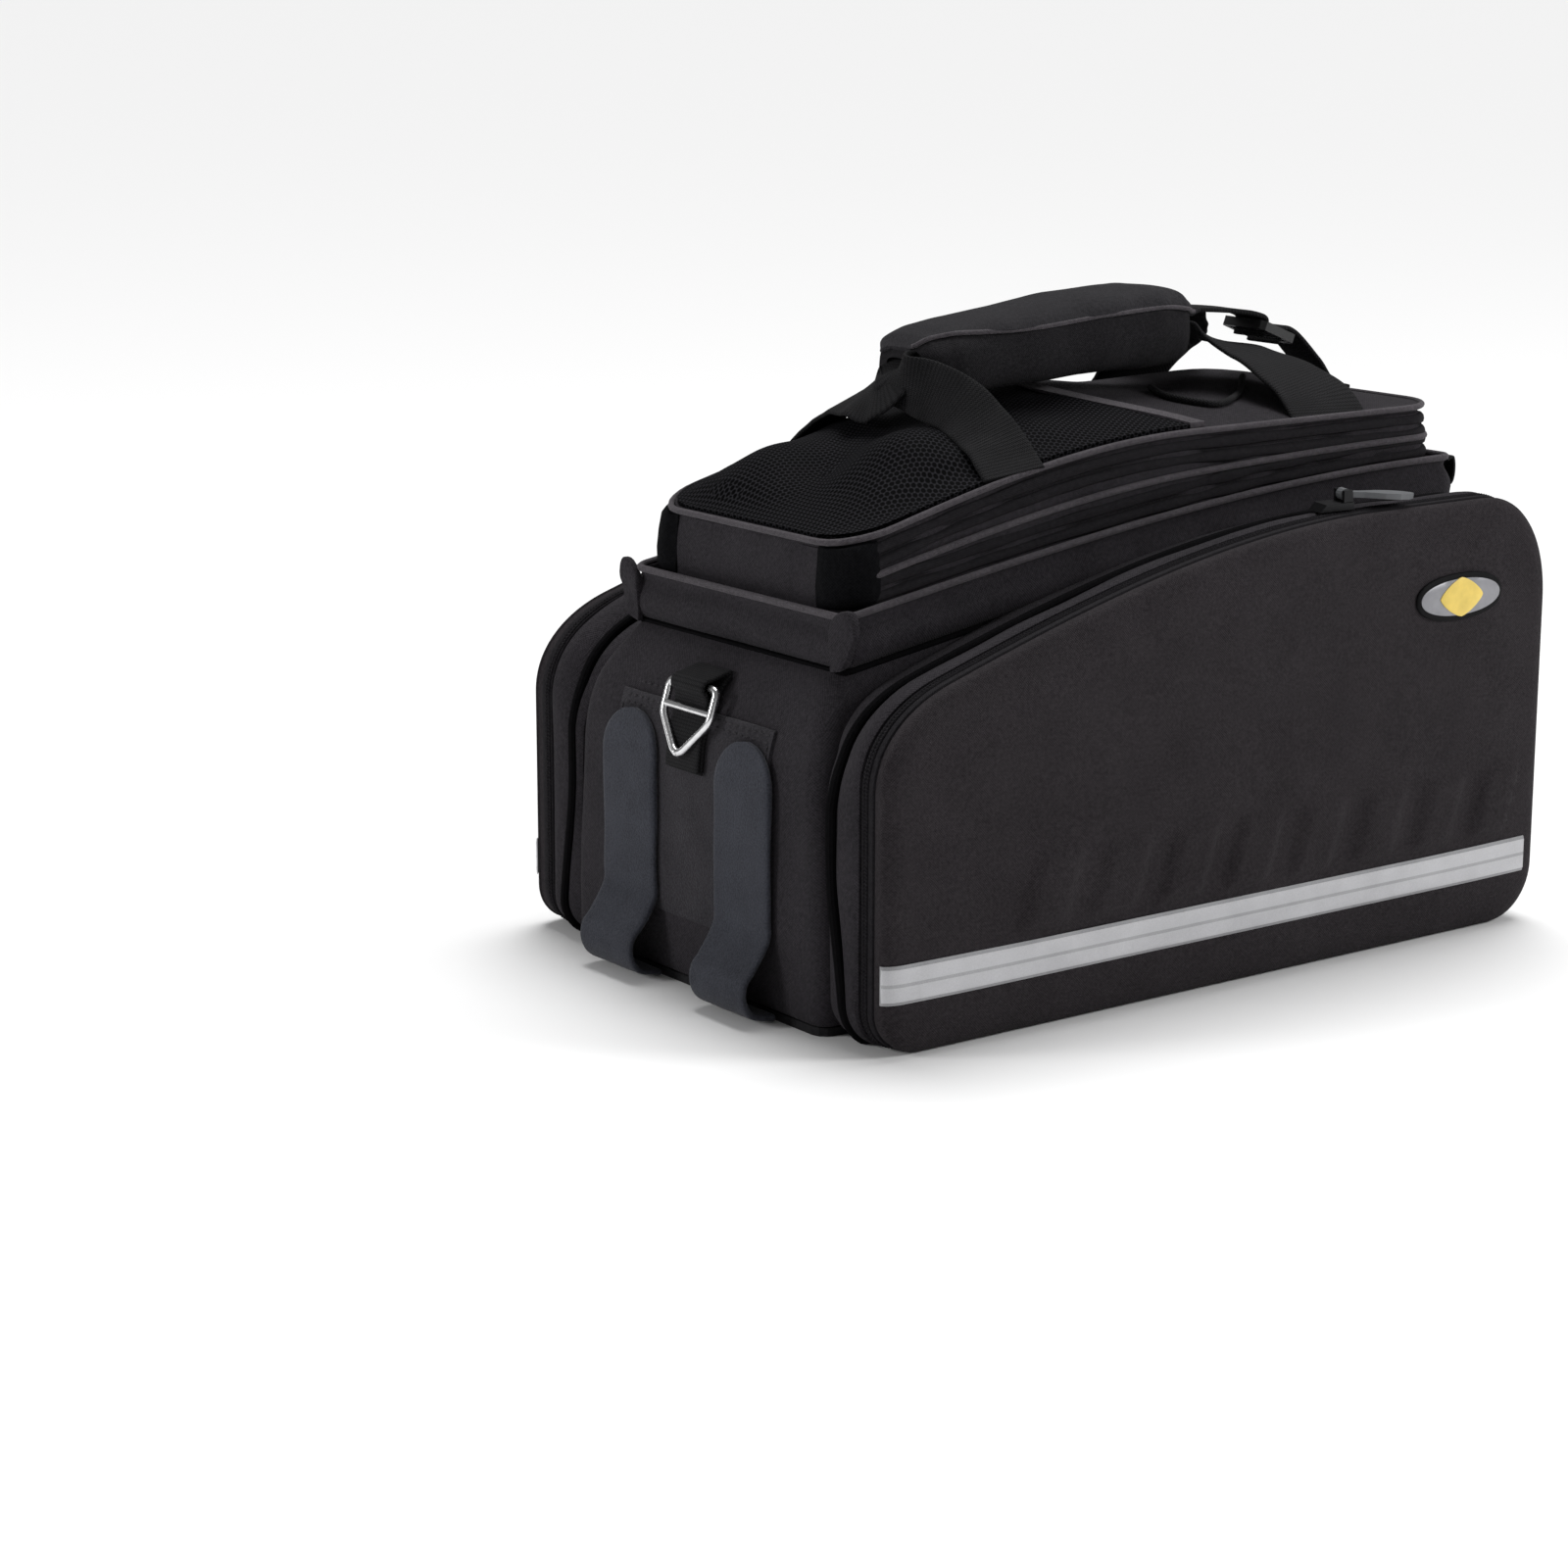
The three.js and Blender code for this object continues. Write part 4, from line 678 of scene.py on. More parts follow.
lid_rings = [lid_ring(share) for share in spread(0.97, 0, 34)]
lid_rings += [lid_ring(share, -lid_wall) for share in (0, 0.1, 0.3, 0.6, 0.9)]
lid = skin("padded_lid", lid_rings)
rumple(lid, 0.7, 30, 13, lambda x, y, z: smooth((z - lid_edge_at(x) - 2) / 4))
dress(lid, body_cloth, "body_fabric", "lid")

lid_cord_rings = []
for c, s in circle(10):
    offset = lid_cord_out + lid_cord_radius * c
    loop = plan_loop(lid_front - offset, lid_rear + offset, lid_half + offset, lid_corner + offset)
    lid_cord_rings.append([(x, y, lid_edge_at(x) - lid_cord_drop + lid_cord_radius * s) for x, y in loop])
lid_cord = skin("lid_cord", lid_cord_rings, closed_profile=True)
dress(lid_cord, highlit_piping_cloth, "piping", "lid_piping")

# Mesh pocket: knitted mesh stretched over the front of the lid, which bulges in lobes parted by
# a bent valley. A woven binding, bowed towards the front, holds its rear edge.
pocket_lobes = table(
    "x y height reach",
    (-97.0, -33.0, 11.0, 24.0),
    (-122.0, 30.0, 8.5, 27.0),
    (-30.0, 44.0, 3.0, 20.0),
    (-36.0, -44.0, 3.0, 16.0),
)
valley_from, valley_to, valley_bend, valley_width = Vector((-152.0, -42.0)), Vector((-84.0, 14.0)), 7, 12
mesh_pitch = 2.1
binding_back, binding_bow, binding_width = 12.0, 34.0, 8.0
pocket_gap, pocket_inset = 0.3, 1.0


def pocket_rise(x, y):
    """How far the stuffed mesh stands off the lid."""
    rise = 0.0
    for lobe in pocket_lobes:
        away = (x - lobe["x"]) ** 2 + (y - lobe["y"]) ** 2
        rise += lobe["height"] * math.exp(-away / lobe["reach"] ** 2)
    along = valley_to - valley_from
    spot = Vector((x, y)) - valley_from
    share = clamp01(spot.dot(along) / along.length_squared)
    aside = Vector((-along.y, along.x)).normalized() * (valley_bend * math.sin(math.pi * share))
    gap = (spot - along * share - aside).length
    edge = smooth((lid_half - 2 - abs(y)) / 14) * smooth((x - lid_front - 1) / 14)
    return rise * edge * (1 - math.exp(-((gap / valley_width) ** 2)))


def open_mesh(name):
    """Knitted mesh: rows of small holes between black threads, the holes in painted shade."""
    knit = Weaver(name, 0.7, 0.0, shine=0.02)
    u, v = knit.cloth_place()
    slant = knit.sum("MULTIPLY", v, math.sqrt(3) / 2)
    cells = knit.wave(u, mesh_pitch, math.pi / 2)
    for lean in (0.5, -0.5):
        rows = knit.scaled(u, lean, slant)
        cells = knit.sum("ADD", cells, knit.wave(rows, mesh_pitch, math.pi / 2))
    threads = knit.scaled(cells, -0.55, -0.02)
    share = knit.varied(knit.specks(1.0), 0.5, threads)
    raised = knit.sum("MAXIMUM", knit.sum("MINIMUM", threads, 0.6), 0.0)
    # The holes' near-black is painted shade: the lid under the mesh seen in shadow.
    return knit.finish(share, (0.0008, 0.0008, 0.001), (0.026, 0.0255, 0.029), raised, 0.3)


def binding_at(y):
    return lid_middle - binding_back + binding_bow * (y / lid_half) ** 2


def lid_half_at(x, inset):
    """Half the lid's width at a place along it, a little in from its rounded outline."""
    half, radius = lid_half - inset, lid_corner - inset
    gap = min(x - lid_front, lid_rear - x) - inset
    if gap >= radius:
        return half
    return half - radius + math.sqrt(max(0.0, radius**2 - (radius - gap) ** 2))


def lid_patch(name, front_line, rear_line, thickness, steps, rise=lambda x, y: 0.0):
    """A sheet that lies on the lid between two lines across it."""
    rings = []
    for share in spread(-1, 1, 72):
        top, bottom = [], []
        for along in spread(0, 1, steps):
            y = share * (lid_half - pocket_inset)
            x = max(mix(front_line(y), rear_line(y), along), lid_front + pocket_inset + 0.01)
            y = share * lid_half_at(x, pocket_inset)
            z = lid_top_at(x, y)
            top.append((x, y, z + rise(x, y) + thickness))
            bottom.append((x, y, z + pocket_gap))
        rings.append(top + bottom[::-1])
    return skin(name, rings)


def binding_edge(out):
    return lambda y: binding_at(y) + out


pocket_rear = binding_edge(-binding_width / 2)
binding_front = binding_edge(-binding_width / 2 - pocket_gap)
pocket = lid_patch("mesh_pocket", lambda y: lid_front, pocket_rear, 1.8, 90, pocket_rise)
rumple(pocket, 1.2, 20, 17, lambda x, y, z: smooth((z - lid_edge_at(x) - 3) / 5))
dress(pocket, open_mesh("mesh_cloth"), "mesh", "lid_mesh_pocket")
binding = lid_patch("pocket_binding", binding_front, binding_edge(binding_width / 2), 2.6, 10)
dress(binding, highlit_piping_cloth, "piping", "mesh_binding")

# Pannier shells: a dish of foam under cloth on each side, pressed in a mould with a rounded edge
# and a plain row of slanted bars low on its face.
pannier_front, pannier_rear = -177.0, 186.0
arch_low, arch_high = 136.0, 190.0
arch_length, arch_start = 260.0, 10.0
shell_face, shell_crown = 126.0, 3.0
shell_edge, shell_seam, shell_lip = 10.0, 121.6, 0.6
face_middle = (mix(pannier_front, pannier_rear, 0.52), arch_high * 0.47)
bar_low, bar_high, bar_from, bar_to = 43.5, 71.0, -118.0, 162.0
bar_pitch, bar_width, bar_slant, bar_ramp, bar_rise = 36.0, 22.0, 0.3, 8.0, 2.6


def arch_at(x):
    return mix(arch_low, arch_high, ease_out((x - pannier_front - arch_start) / arch_length))


def bezier(guides, share):
    a, b, c, d = guides
    rest = 1 - share
    weights = (rest**3, 3 * rest**2 * share, 3 * rest * share**2, share**3)
    return tuple(sum(w * p[k] for w, p in zip(weights, (a, b, c, d))) for k in range(2))


def pannier_path():
    """The side view of a pannier, from its front foot up and over to its rear foot."""
    front_foot, rear_foot, corner_length = 18.0, 25.0, 37.0
    shoulder_length, rear_shoulder, front_shoulder = 38.0, arch_high - 48, 104.0
    arch_from, arch_to = pannier_front + corner_length, pannier_rear - shoulder_length
    rear_foot_x = pannier_rear - rear_foot

    def foot(x, radius, turn):
        angles = [math.pi * (turn - 0.5 * i / 16) for i in range(16)]
        return [(x + radius * math.cos(angle), radius * (1 + math.sin(angle))) for angle in angles]

    def corner(x, length, low, high, guides, steps):
        places = [(x + length * a, mix(low, high, b)) for a, b in guides]
        return [bezier(places, i / steps) for i in range(steps)]

    path = foot(pannier_front + front_foot, front_foot, 1.5)
    path += [(pannier_front, z) for z in spread(front_foot, front_shoulder, 30)[:-1]]
    guides = [(0, 0), (0, 0.5), (0.45, 0.84), (1, 1)]
    path += corner(pannier_front, corner_length, front_shoulder, arch_at(arch_from), guides, 30)
    path += [(x, arch_at(x)) for x in spread(arch_from, arch_to, 80)[:-1]]
    guides = [(0, 1), (0.55, 1.005), (1, 0.62), (1, 0)]
    path += corner(arch_to, shoulder_length, rear_shoulder, arch_at(arch_to), guides, 36)
    path += [(pannier_rear, z) for z in spread(rear_shoulder, rear_foot, 30)[:-1]]
    path += foot(rear_foot_x, rear_foot, 2)
    return path + [(x, 0) for x in spread(rear_foot_x, pannier_front + front_foot, 60)[:-1]]


def resampled(count):
    """Points evenly spaced round a pannier's side view, each with its outward normal."""
    path = pannier_path()
    lengths = [0.0]
    for a, b in zip(path, path[1:] + path[:1]):
        lengths.append(lengths[-1] + math.dist(a, b))
    spots = []
    span = 0
    for i in range(count):
        target = lengths[-1] * i / count
        while lengths[span + 1] < target:
            span += 1
        share = (target - lengths[span]) / max(1e-9, lengths[span + 1] - lengths[span])
        a, b = path[span], path[(span + 1) % len(path)]
        spots.append((mix(a[0], b[0], share), mix(a[1], b[1], share)))
    outline = []
    for i, (x, z) in enumerate(spots):
        before, after = spots[i - 2], spots[(i + 2) % count]
        size = math.dist(before, after)
        outline.append((x, z, -(after[1] - before[1]) / size, (after[0] - before[0]) / size))
    return outline


pannier_outline = resampled(640)


def pannier_ring(inset, across, side, outline=pannier_outline):
    ring = []
    for x, z, nx, nz in outline:
        depth = inset(x, z) if callable(inset) else inset
        px, pz = x - nx * depth, max(z - nz * depth, 0.05)
        out = across(px, pz) if callable(across) else across
        ring.append((px, side * out, pz))
    return ring


def relief_at(x, z):
    along = x - bar_slant * (z - bar_low)
    if not bar_from < along < bar_to:
        return 0.0
    from_middle = abs((along - bar_from) % bar_pitch - bar_pitch / 2)
    sides = smooth((bar_width / 2 - from_middle) / bar_ramp + 0.5)
    ends = smooth((z - bar_low) / bar_ramp + 0.5) * smooth((bar_high - z) / bar_ramp + 0.5)
    return bar_rise * sides * ends


shell_dark, shell_light = (0.0125, 0.0105, 0.012), (0.037, 0.0325, 0.0355)
shell_cloth = woven("shell_cloth", shell_dark, shell_light, pitch=1.1, roughness=0.82)


def moulded_shell(side, tag):
    inner = [(11, shell_face - 4), (4, shell_face - 12), (4, 114.0), (1.6, 114.0)]
    inner += [(1.2, shell_seam - shell_lip), (shell_lip, shell_seam)]
    rings = [pannier_ring(inset, across, side) for inset, across in inner]
    for i in range(1, 9):
        angle = math.pi / 2 * i / 8
        inset = shell_lip + (shell_edge - shell_lip) * (1 - math.cos(angle))
        rings.append(pannier_ring(inset, mix(shell_seam, shell_face, math.sin(angle)), side))
    edge = rings[-1]
    for share in spread(0, 1, 62)[1:-1]:
        ring = []
        for x, y, z in edge:
            px, pz = mix(x, face_middle[0], share), mix(z, face_middle[1], share)
            out = shell_face + shell_crown * (1 - (1 - share) ** 2) + relief_at(px, pz)
            out += 0.5 * noise.noise(Vector((px / 60, side * 3.0, pz / 60)))
            ring.append((px, side * out, pz))
        rings.append(ring)
    shell = skin(f"moulded_shell_{tag}", rings)
    dress(shell, shell_cloth, "body_fabric", f"pannier_shell_{tag}")


# Gussets: on each side a soft wall of cloth joins the tub to the pannier's zip and sags like a
# gutter along its top. A corded seam runs round it close to the tub; its cord is near-black, a
# painted shade in the seam's groove.
coil_across = 112.4
gusset_edge = coil_across - 4
gusset_cord_drop, gusset_cord_radius = 0.3, 2.1


def body_half_at(x, z):
    if z > seam_at(x):
        return seam_half + collar_flare * clamp01((z - seam_at(x)) / collar_height)
    return body_half - side_lean * read_table(wall_rows, "height", "narrow", wall_share(x, z))


def cord_across(z):
    """The corded seam runs close to the tub and spreads out to the zip near the bottom."""
    return mix(body_half + 2.6, coil_across - 11.5, smooth(1 - z / 76))


def sunk(inset, share=1.0):
    return lambda x, z: inset + 4.5 * share * smooth((z - 92) / 26)


def at_tub(x, z):
    return body_half_at(x, z) + 0.6


def tub_to_cord(share):
    return lambda x, z: mix(body_half_at(x, z), cord_across(z), share)


def at_cord(out):
    return lambda x, z: cord_across(z) + out


def cord_to_zip(share):
    return lambda x, z: mix(cord_across(z), gusset_edge, share)


gusset_rows = [
    (sunk(1.6, 1.3), at_tub),
    (sunk(0.2, 1.25), tub_to_cord(0.35)),
    (sunk(-0.3, 1.15), tub_to_cord(0.7)),
    (sunk(1.0), at_cord(-2.2)),
    (sunk(2.2), at_cord(0)),
    (sunk(1.0, 0.95), at_cord(2.2)),
    (sunk(-0.6, 0.7), cord_to_zip(0.3)),
    (sunk(-0.9, 0.3), cord_to_zip(0.65)),
    (sunk(-0.4, 0.05), cord_to_zip(0.9)),
    (0.6, gusset_edge),
    (3.4, gusset_edge),
    (sunk(4.2, 0.6), cord_to_zip(0.5)),
    (sunk(4.6), at_cord(0)),
    (sunk(4.6, 1.3), at_tub),
]


def soft_gusset(side, tag):
    rings = [pannier_ring(inset, across, side) for inset, across in gusset_rows]
    gusset = skin(f"gusset_{tag}", rings, closed_profile=True)
    rumple(gusset, 0.6, 26, 19 + side)
    dress(gusset, body_cloth, "body_fabric", f"pannier_gusset_{tag}")
    rings = []
    for c, s in circle(10):
        inset = sunk(-gusset_cord_drop - gusset_cord_radius * c)
        rings.append(pannier_ring(inset, at_cord(gusset_cord_radius * s), side))
    cord = skin(f"gusset_cord_{tag}", rings, closed_profile=True)
    dress(cord, shaded_seam_cloth, "piping")


# Pannier zips: a coil between two wide woven tapes, sewn to the gusset on one side and under the
# shell's edge on the other. Every second point round the coil is pressed in, for its teeth.
fine_outline = resampled(1300)
zip_seat, tooth_seat = 0.3, 0.85
zip_rows = [(4.7, -6.5), (4.3, -4.2), (3.6, -3.7), (2.6, -3.5), (1.6, -2.9), (0.5, -2.5), (0.3, -2.3)]
zip_rows += [(0.3, -1.9), (0.9, -1.7), (-0.4, -1.3), (-0.6, -0.5), (-0.2, -0.15), (-0.2, 0.15)]
zip_rows += [(-0.6, 0.5), (-0.4, 1.3), (0.9, 1.7), (0.3, 1.9), (0.1, 3.2), (0.3, 4.5), (0.8, 4.9)]
zip_rows += [(2.8, 5.2), (3.6, 6.0), (3.8, 8.6), (6.5, 8.6), (6.5, -6.5)]


def side_zip(side, tag):
    rings = []
    for inset, out in zip_rows:
        ring = pannier_ring(inset + zip_seat, coil_across + out, side, fine_outline)
        if 0.1 < abs(out) < 1.4:
            deep = pannier_ring(inset + tooth_seat, coil_across + out, side, fine_outline)
            ring = [deep[i] if i % 2 else spot for i, spot in enumerate(ring)]
        rings.append(ring)
    pannier_zip = skin(f"pannier_zip_{tag}", rings, closed_profile=True)
    dress(pannier_zip, zip_tape, "zipper", f"pannier_zipper_{tag}")


for side, tag in ((-1, "left"), (1, "right")):
    moulded_shell(side, tag)
    soft_gusset(side, tag)
    side_zip(side, tag)

# Reflective stripe: silver glass-bead tape pressed on low along each shell. It wraps round the
# front edge, and its two edges and a line along its middle are darker.
stripe_low, stripe_width, stripe_thickness = 22.5, 15.7, 0.9
face_outline = [(x, z) for x, _, z in pannier_ring(shell_edge, shell_face, 1, resampled(140))]


def face_across(x, z):
    """How far out the face of a shell lies at a place on it."""
    cx, cz = face_middle
    px, pz = x - cx, z - cz
    for a, b in zip(face_outline, face_outline[1:] + face_outline[:1]):
        ax, az, bx, bz = a[0] - cx, a[1] - cz, b[0] - cx, b[1] - cz
        whole = ax * bz - az * bx
        first, second = (px * bz - pz * bx) / whole, (ax * pz - az * px) / whole
        if first >= -1e-6 and second >= -1e-6:
            return shell_face + shell_crown * (1 - clamp01(first + second) ** 2)
    return shell_face


def reflective_tape():
    tape = Weaver("reflective_tape", 0.5, metallic=0.1, shine=0.3)
    u, v = tape.cloth_place()
    beads = tape.specks(0.5)
    from_middle = tape.sum("ABSOLUTE", tape.sum("SUBTRACT", u, stripe_width / 2))
    edge = tape.sum("GREATER_THAN", from_middle, stripe_width / 2 - 1.3)
    line = tape.sum("COMPARE", from_middle, 0.0, 0.7)
    share = tape.varied(tape.specks(18, 3), 0.35, tape.scaled(beads, 0.3, 0.62))
    share = tape.scaled(line, -0.28, tape.scaled(edge, -0.45, share))
    height = tape.scaled(edge, -2.0, beads)
    return tape.finish(share, (0.12, 0.12, 0.125), (0.62, 0.62, 0.64), height, 0.06)


silver_tape = reflective_tape()


def stripe(side, tag, node):
    stations = []
    for turn in spread(0.03, 0.5, 11):
        x = pannier_front + mix(shell_lip, shell_edge, 1 - math.cos(turn * math.pi))
        stations.append((x, mix(shell_seam, shell_face, math.sin(turn * math.pi))))
    length = pannier_rear - pannier_front - 2 * shell_edge
    stations += [(pannier_front + shell_edge + length * i / 110, None) for i in range(1, 111)]
    shares = spread(0, 1, 10)
    rings = []
    for x, fixed in stations:
        step_out = 0.4 * (1 - clamp01((x - pannier_front) / 6))
        section = [(share, stripe_thickness * (0.45 if share in (0, 1) else 1)) for share in shares]
        section += [(share, 0.0) for share in shares[::-1]]
        ring = []
        for share, rise in section:
            z = stripe_low + stripe_width * share
            across = fixed or face_across(x, z)
            ring.append((x - step_out, side * (across + 0.2 + rise), z))
        rings.append(ring)
    piece = skin(f"stripe_{tag}", rings, along_strip=True)
    dress(piece, silver_tape, "reflective_tape", node)


# Badge: a plain moulded lozenge of satin grey with a yellow middle, glued on a black backing
# high on the rear of each shell.
badge_x, badge_z = pannier_rear - 58.0, 150.0


def plain_plastic(name, colour, roughness=0.45, metallic=0.0, shine=0.4):
    """Moulded plastic: a fine eggshell grain with faint scuffs in the colour."""
    body = Weaver(name, roughness, metallic=metallic, shine=shine)
    grain = body.specks(0.4)
    scuffs = body.scaled(body.specks(6, 4), 0.9, -0.05)
    dark = tuple(part * 0.8 for part in colour)
    light = tuple(min(1, part * 1.35 + 0.004) for part in colour)
    return body.finish(scuffs, dark, light, grain, 0.03)


badge_black = plain_plastic("badge_black", (0.004, 0.004, 0.0045), 0.6, shine=0.06)
badge_grey = plain_plastic("badge_grey", (0.23, 0.23, 0.245), 0.4, 0.3)
badge_yellow = plain_plastic("badge_yellow", (0.72, 0.53, 0.11))


def plaque(name, side, half_length, half_height, power, rows, material, *nodes):
    """A low raised shape on the shell's face, from rows of scale and lift."""
    rings = []
    for scale, lift in rows:
        ring = []
        for c, s in circle(64):
            reach = (abs(c) ** power + abs(s) ** power) ** (-1 / power)
            x, z = badge_x + half_length * reach * c * scale, badge_z + half_height * reach * s * scale
            ring.append((x, side * (face_across(x, z) + 0.2 + lift), z))
        rings.append(ring)
    dress(skin(name, rings), material, "badge_print", *nodes)


def badge(side, tag, node):
    base_rows = [(1, 0), (1, 0.5), (0.985, 0.85), (0.95, 1.0), (0.5, 1.0)]
    plaque(f"badge_base_{tag}", side, 26, 10, 2.3, base_rows, badge_black, node)
    rim_rows = [(1, 0.8), (1, 1.25), (0.96, 1.5), (0.6, 1.5)]
    plaque(f"badge_plate_{tag}", side, 24, 7.8, 2.1, rim_rows, badge_grey)
    heart_rows = [(1, 1.2), (1, 1.75), (0.93, 2.0), (0.5, 2.05)]
    plaque(f"badge_heart_{tag}", side, 13, 8.4, 1.35, heart_rows, badge_yellow)


for side, tag in ((-1, "left"), (1, "right")):
    stripe(side, tag, f"reflective_stripe_{tag}")
    badge(side, tag, f"badge_{tag}")

# Zip sliders: cast and painted metal, each with a leaf-shaped pull of moulded plastic that turns
# on the slider's pin.
slider_metal = plain_plastic("slider_metal", (0.012, 0.012, 0.013), 0.35, 0.6)
pull_plastic = plain_plastic("pull_plastic", (0.10, 0.104, 0.11), 0.5, shine=0.3)
for tag in ("left", "right"):
    repaint(f"pannier_slider_{tag}", slider_metal)
    repaint(f"pannier_pull_{tag}", pull_plastic)

# Front panel: a patch of loop tape, sewn along its edges, and two hook-and-loop straps that
# come down over it, bend round the place of a rack tube, and end at the panel's bottom edge.
panel_gap, patch_cloth, patch_skin = 0.3, 0.9, 0.85
patch_low, patch_high, patch_half = 30.0, seam_height - 24, 53.0
rack_width, rack_thickness, tube_gap, gap_top, gap_low = 38.0, 2.6, 11.0, 24.0, 3.6
rack_top, rack_spacing = seam_height - 30, 80.0
rack_seat = 2 * panel_gap + 1 + rack_thickness / 2


def lean_at(x, z):
    return blurred(wall_rows, "height", "lean", wall_share(x, z))


def front_out(z):
    return -body_front - front_lean * lean_at(seam_front, z)


def rear_out(z):
    return body_rear - rear_lean * lean_at(seam_rear, z)


def pile(name, dark, light):
    """Short brushed pile of nylon loops."""
    felt = Weaver(name, 0.92, 0.1, shine=0.1)
    tufts = felt.specks(0.8, 4)
    share = felt.varied(felt.specks(14, 3), 0.7, felt.varied(tufts, 1.6, 0.5))
    return felt.finish(share, dark, light, tufts, 0.35)


patch_rings = []
for y in spread(-patch_half, patch_half, 54):
    column = [(z, front_out(z) + panel_gap + patch_cloth) for z in spread(patch_low, patch_high, 44)]
    column += [(z, out - patch_skin) for z, out in column[::-1]]
    patch_rings.append([(-out, y, z) for z, out in column])
patch = skin("loop_patch_cloth", patch_rings)
rumple(patch, 0.3, 16, 23)
patch_pile = pile("patch_pile", (0.011, 0.0102, 0.0122), (0.040, 0.037, 0.043))
dress(patch, patch_pile, "hook_and_loop", "loop_patch")


def curve_through(points, steps):
    """A smooth line through points, with an equal number of steps between each two."""
    spots = [Vector(p) for p in points]
    spots = [2 * spots[0] - spots[1]] + spots + [2 * spots[-1] - spots[-2]]
    line = []
    for a, b, c, d in zip(spots, spots[1:], spots[2:], spots[3:]):
        t1 = max(1e-4, (b - a).length ** 0.5)
        t2 = t1 + max(1e-4, (c - b).length ** 0.5)
        t3 = t2 + max(1e-4, (d - c).length ** 0.5)
        for i in range(steps):
            t = mix(t1, t2, i / steps)
            ab, bc = a.lerp(b, t / t1), b.lerp(c, (t - t1) / (t2 - t1))
            cd = c.lerp(d, (t - t2) / (t3 - t2))
            before, after = ab.lerp(bc, t / t2), bc.lerp(cd, (t - t1) / (t3 - t1))
            line.append(before.lerp(after, (t - t1) / (t2 - t1)))
    line.append(spots[-2])
    return line


def tangents(line):
    last = len(line) - 1
    return [(line[min(i + 1, last)] - line[max(i - 1, 0)]).normalized() for i in range(last + 1)]


tape_section = [(-1, 0), (-0.985, 0.6), (-0.95, 0.95), (-0.85, 1.05), (-0.4, 1), (0, 1), (0.4, 1)]
tape_section += [(0.85, 1.05), (0.95, 0.95), (0.985, 0.6), (1, 0)]
tape_section += [(a, -u) for a, u in tape_section[-2:0:-1]]


def tape(name, line, across, widths, thickness):
    """A flat tape along a line, with its across direction and width at each place."""
    rings = []
    for spot, along, side, width in zip(line, tangents(line), across, widths):
        side = (side - along * side.dot(along)).normalized()
        up = side.cross(along).normalized()
        rings.append([spot + side * (a * width / 2) + up * (u * thickness / 2) for a, u in tape_section])
    return skin(name, rings, along_strip=True, crease=50)


def plain_tape(name, line, width, thickness):
    """A tape of one width that stays square to the bag."""
    return tape(name, line, [Vector((0, -1, 0))] * len(line), [width] * len(line), thickness)


def rack_strap(tag, middle):
    gap_middle, gap_half = (gap_top + gap_low) / 2, (gap_top - gap_low) / 2 + rack_thickness / 2
    points = [(front_out(z) + rack_seat, z) for z in spread(rack_top, gap_top + tube_gap, 9)]
    for degrees in (52, 26, 0, -26, -52):
        angle = math.radians(degrees)
        bulge = (tube_gap + rack_thickness / 2) * math.cos(angle)
        points.append((front_out(gap_top) + rack_seat + bulge, gap_middle + gap_half * math.sin(angle)))
    points.append((front_out(0) + panel_gap, gap_middle - gap_half))
    line = curve_through([(-out, middle, z) for out, z in points], 10)
    widths = []
    reach = 0.0
    radius = rack_width / 2
    for i, spot in enumerate(line):
        reach += (spot - line[i - 1]).length if i else 0.02
        widths.append(2 * math.sqrt(radius**2 - max(0.0, radius - reach) ** 2))
    piece = tape(f"rack_tape_{tag}", line, [Vector((0, -1, 0))] * len(line), widths, rack_thickness)
    rumple(piece, 0.6, 24, 29 + middle)
    dress(piece, strap_pile, "hook_and_loop", f"rack_strap_{tag}")


strap_pile = pile("strap_pile", (0.020, 0.0212, 0.027), (0.050, 0.0525, 0.065))
rack_strap("left", -rack_spacing / 2)
rack_strap("right", rack_spacing / 2)

# Shoulder-strap rings: welded and polished steel wire, each held at one end of the bag by a
# folded loop of webbing in which its bar turns.
ring_level, ring_bar_drop = seam_height - 14, 10.0
ring_wire, ring_width, ring_height = 3.5, 36.0, 30.0
ring_hole, ring_rest_gap, ring_tip, tab_pad = ring_wire / 2 + 0.5, 2.2, 2.2, 4.9
tab_width, tab_thickness, tab_loop = 23.0, 1.7, 3.25


def webbing(name, dark, light, rib=1.5):
    """Heavy nylon webbing: ribs across it, with worn patches."""
    belt = Weaver(name, 0.7, 0.01, shine=0.04)
    u, v = belt.cloth_place()
    ribs = belt.sum("ABSOLUTE", belt.wave(v, 2 * rib))
    threads = belt.sum("MULTIPLY", belt.wave(u, 1.1), belt.wave(v, rib))
    share = belt.scaled(threads, 0.25, belt.sum("MULTIPLY", ribs, 0.45))
    share = belt.sum("ADD", share, belt.scaled(belt.specks(15, 3), 0.5, -0.12))
    height = belt.sum("ADD", ribs, belt.scaled(belt.specks(1.1), 0.5, threads))
    return belt.finish(share, dark, light, height, 0.14)


def polished_wire():
    wire = Weaver("polished_wire", 0.22, metallic=1.0)
    scratches = wire.specks(2.2, 4)
    return wire.finish(scratches, (0.5, 0.5, 0.51), (0.86, 0.86, 0.87), scratches, 0.02)


black_webbing = webbing("black_webbing", (0.008, 0.008, 0.0085), (0.024, 0.0235, 0.025))
ring_steel = polished_wire()


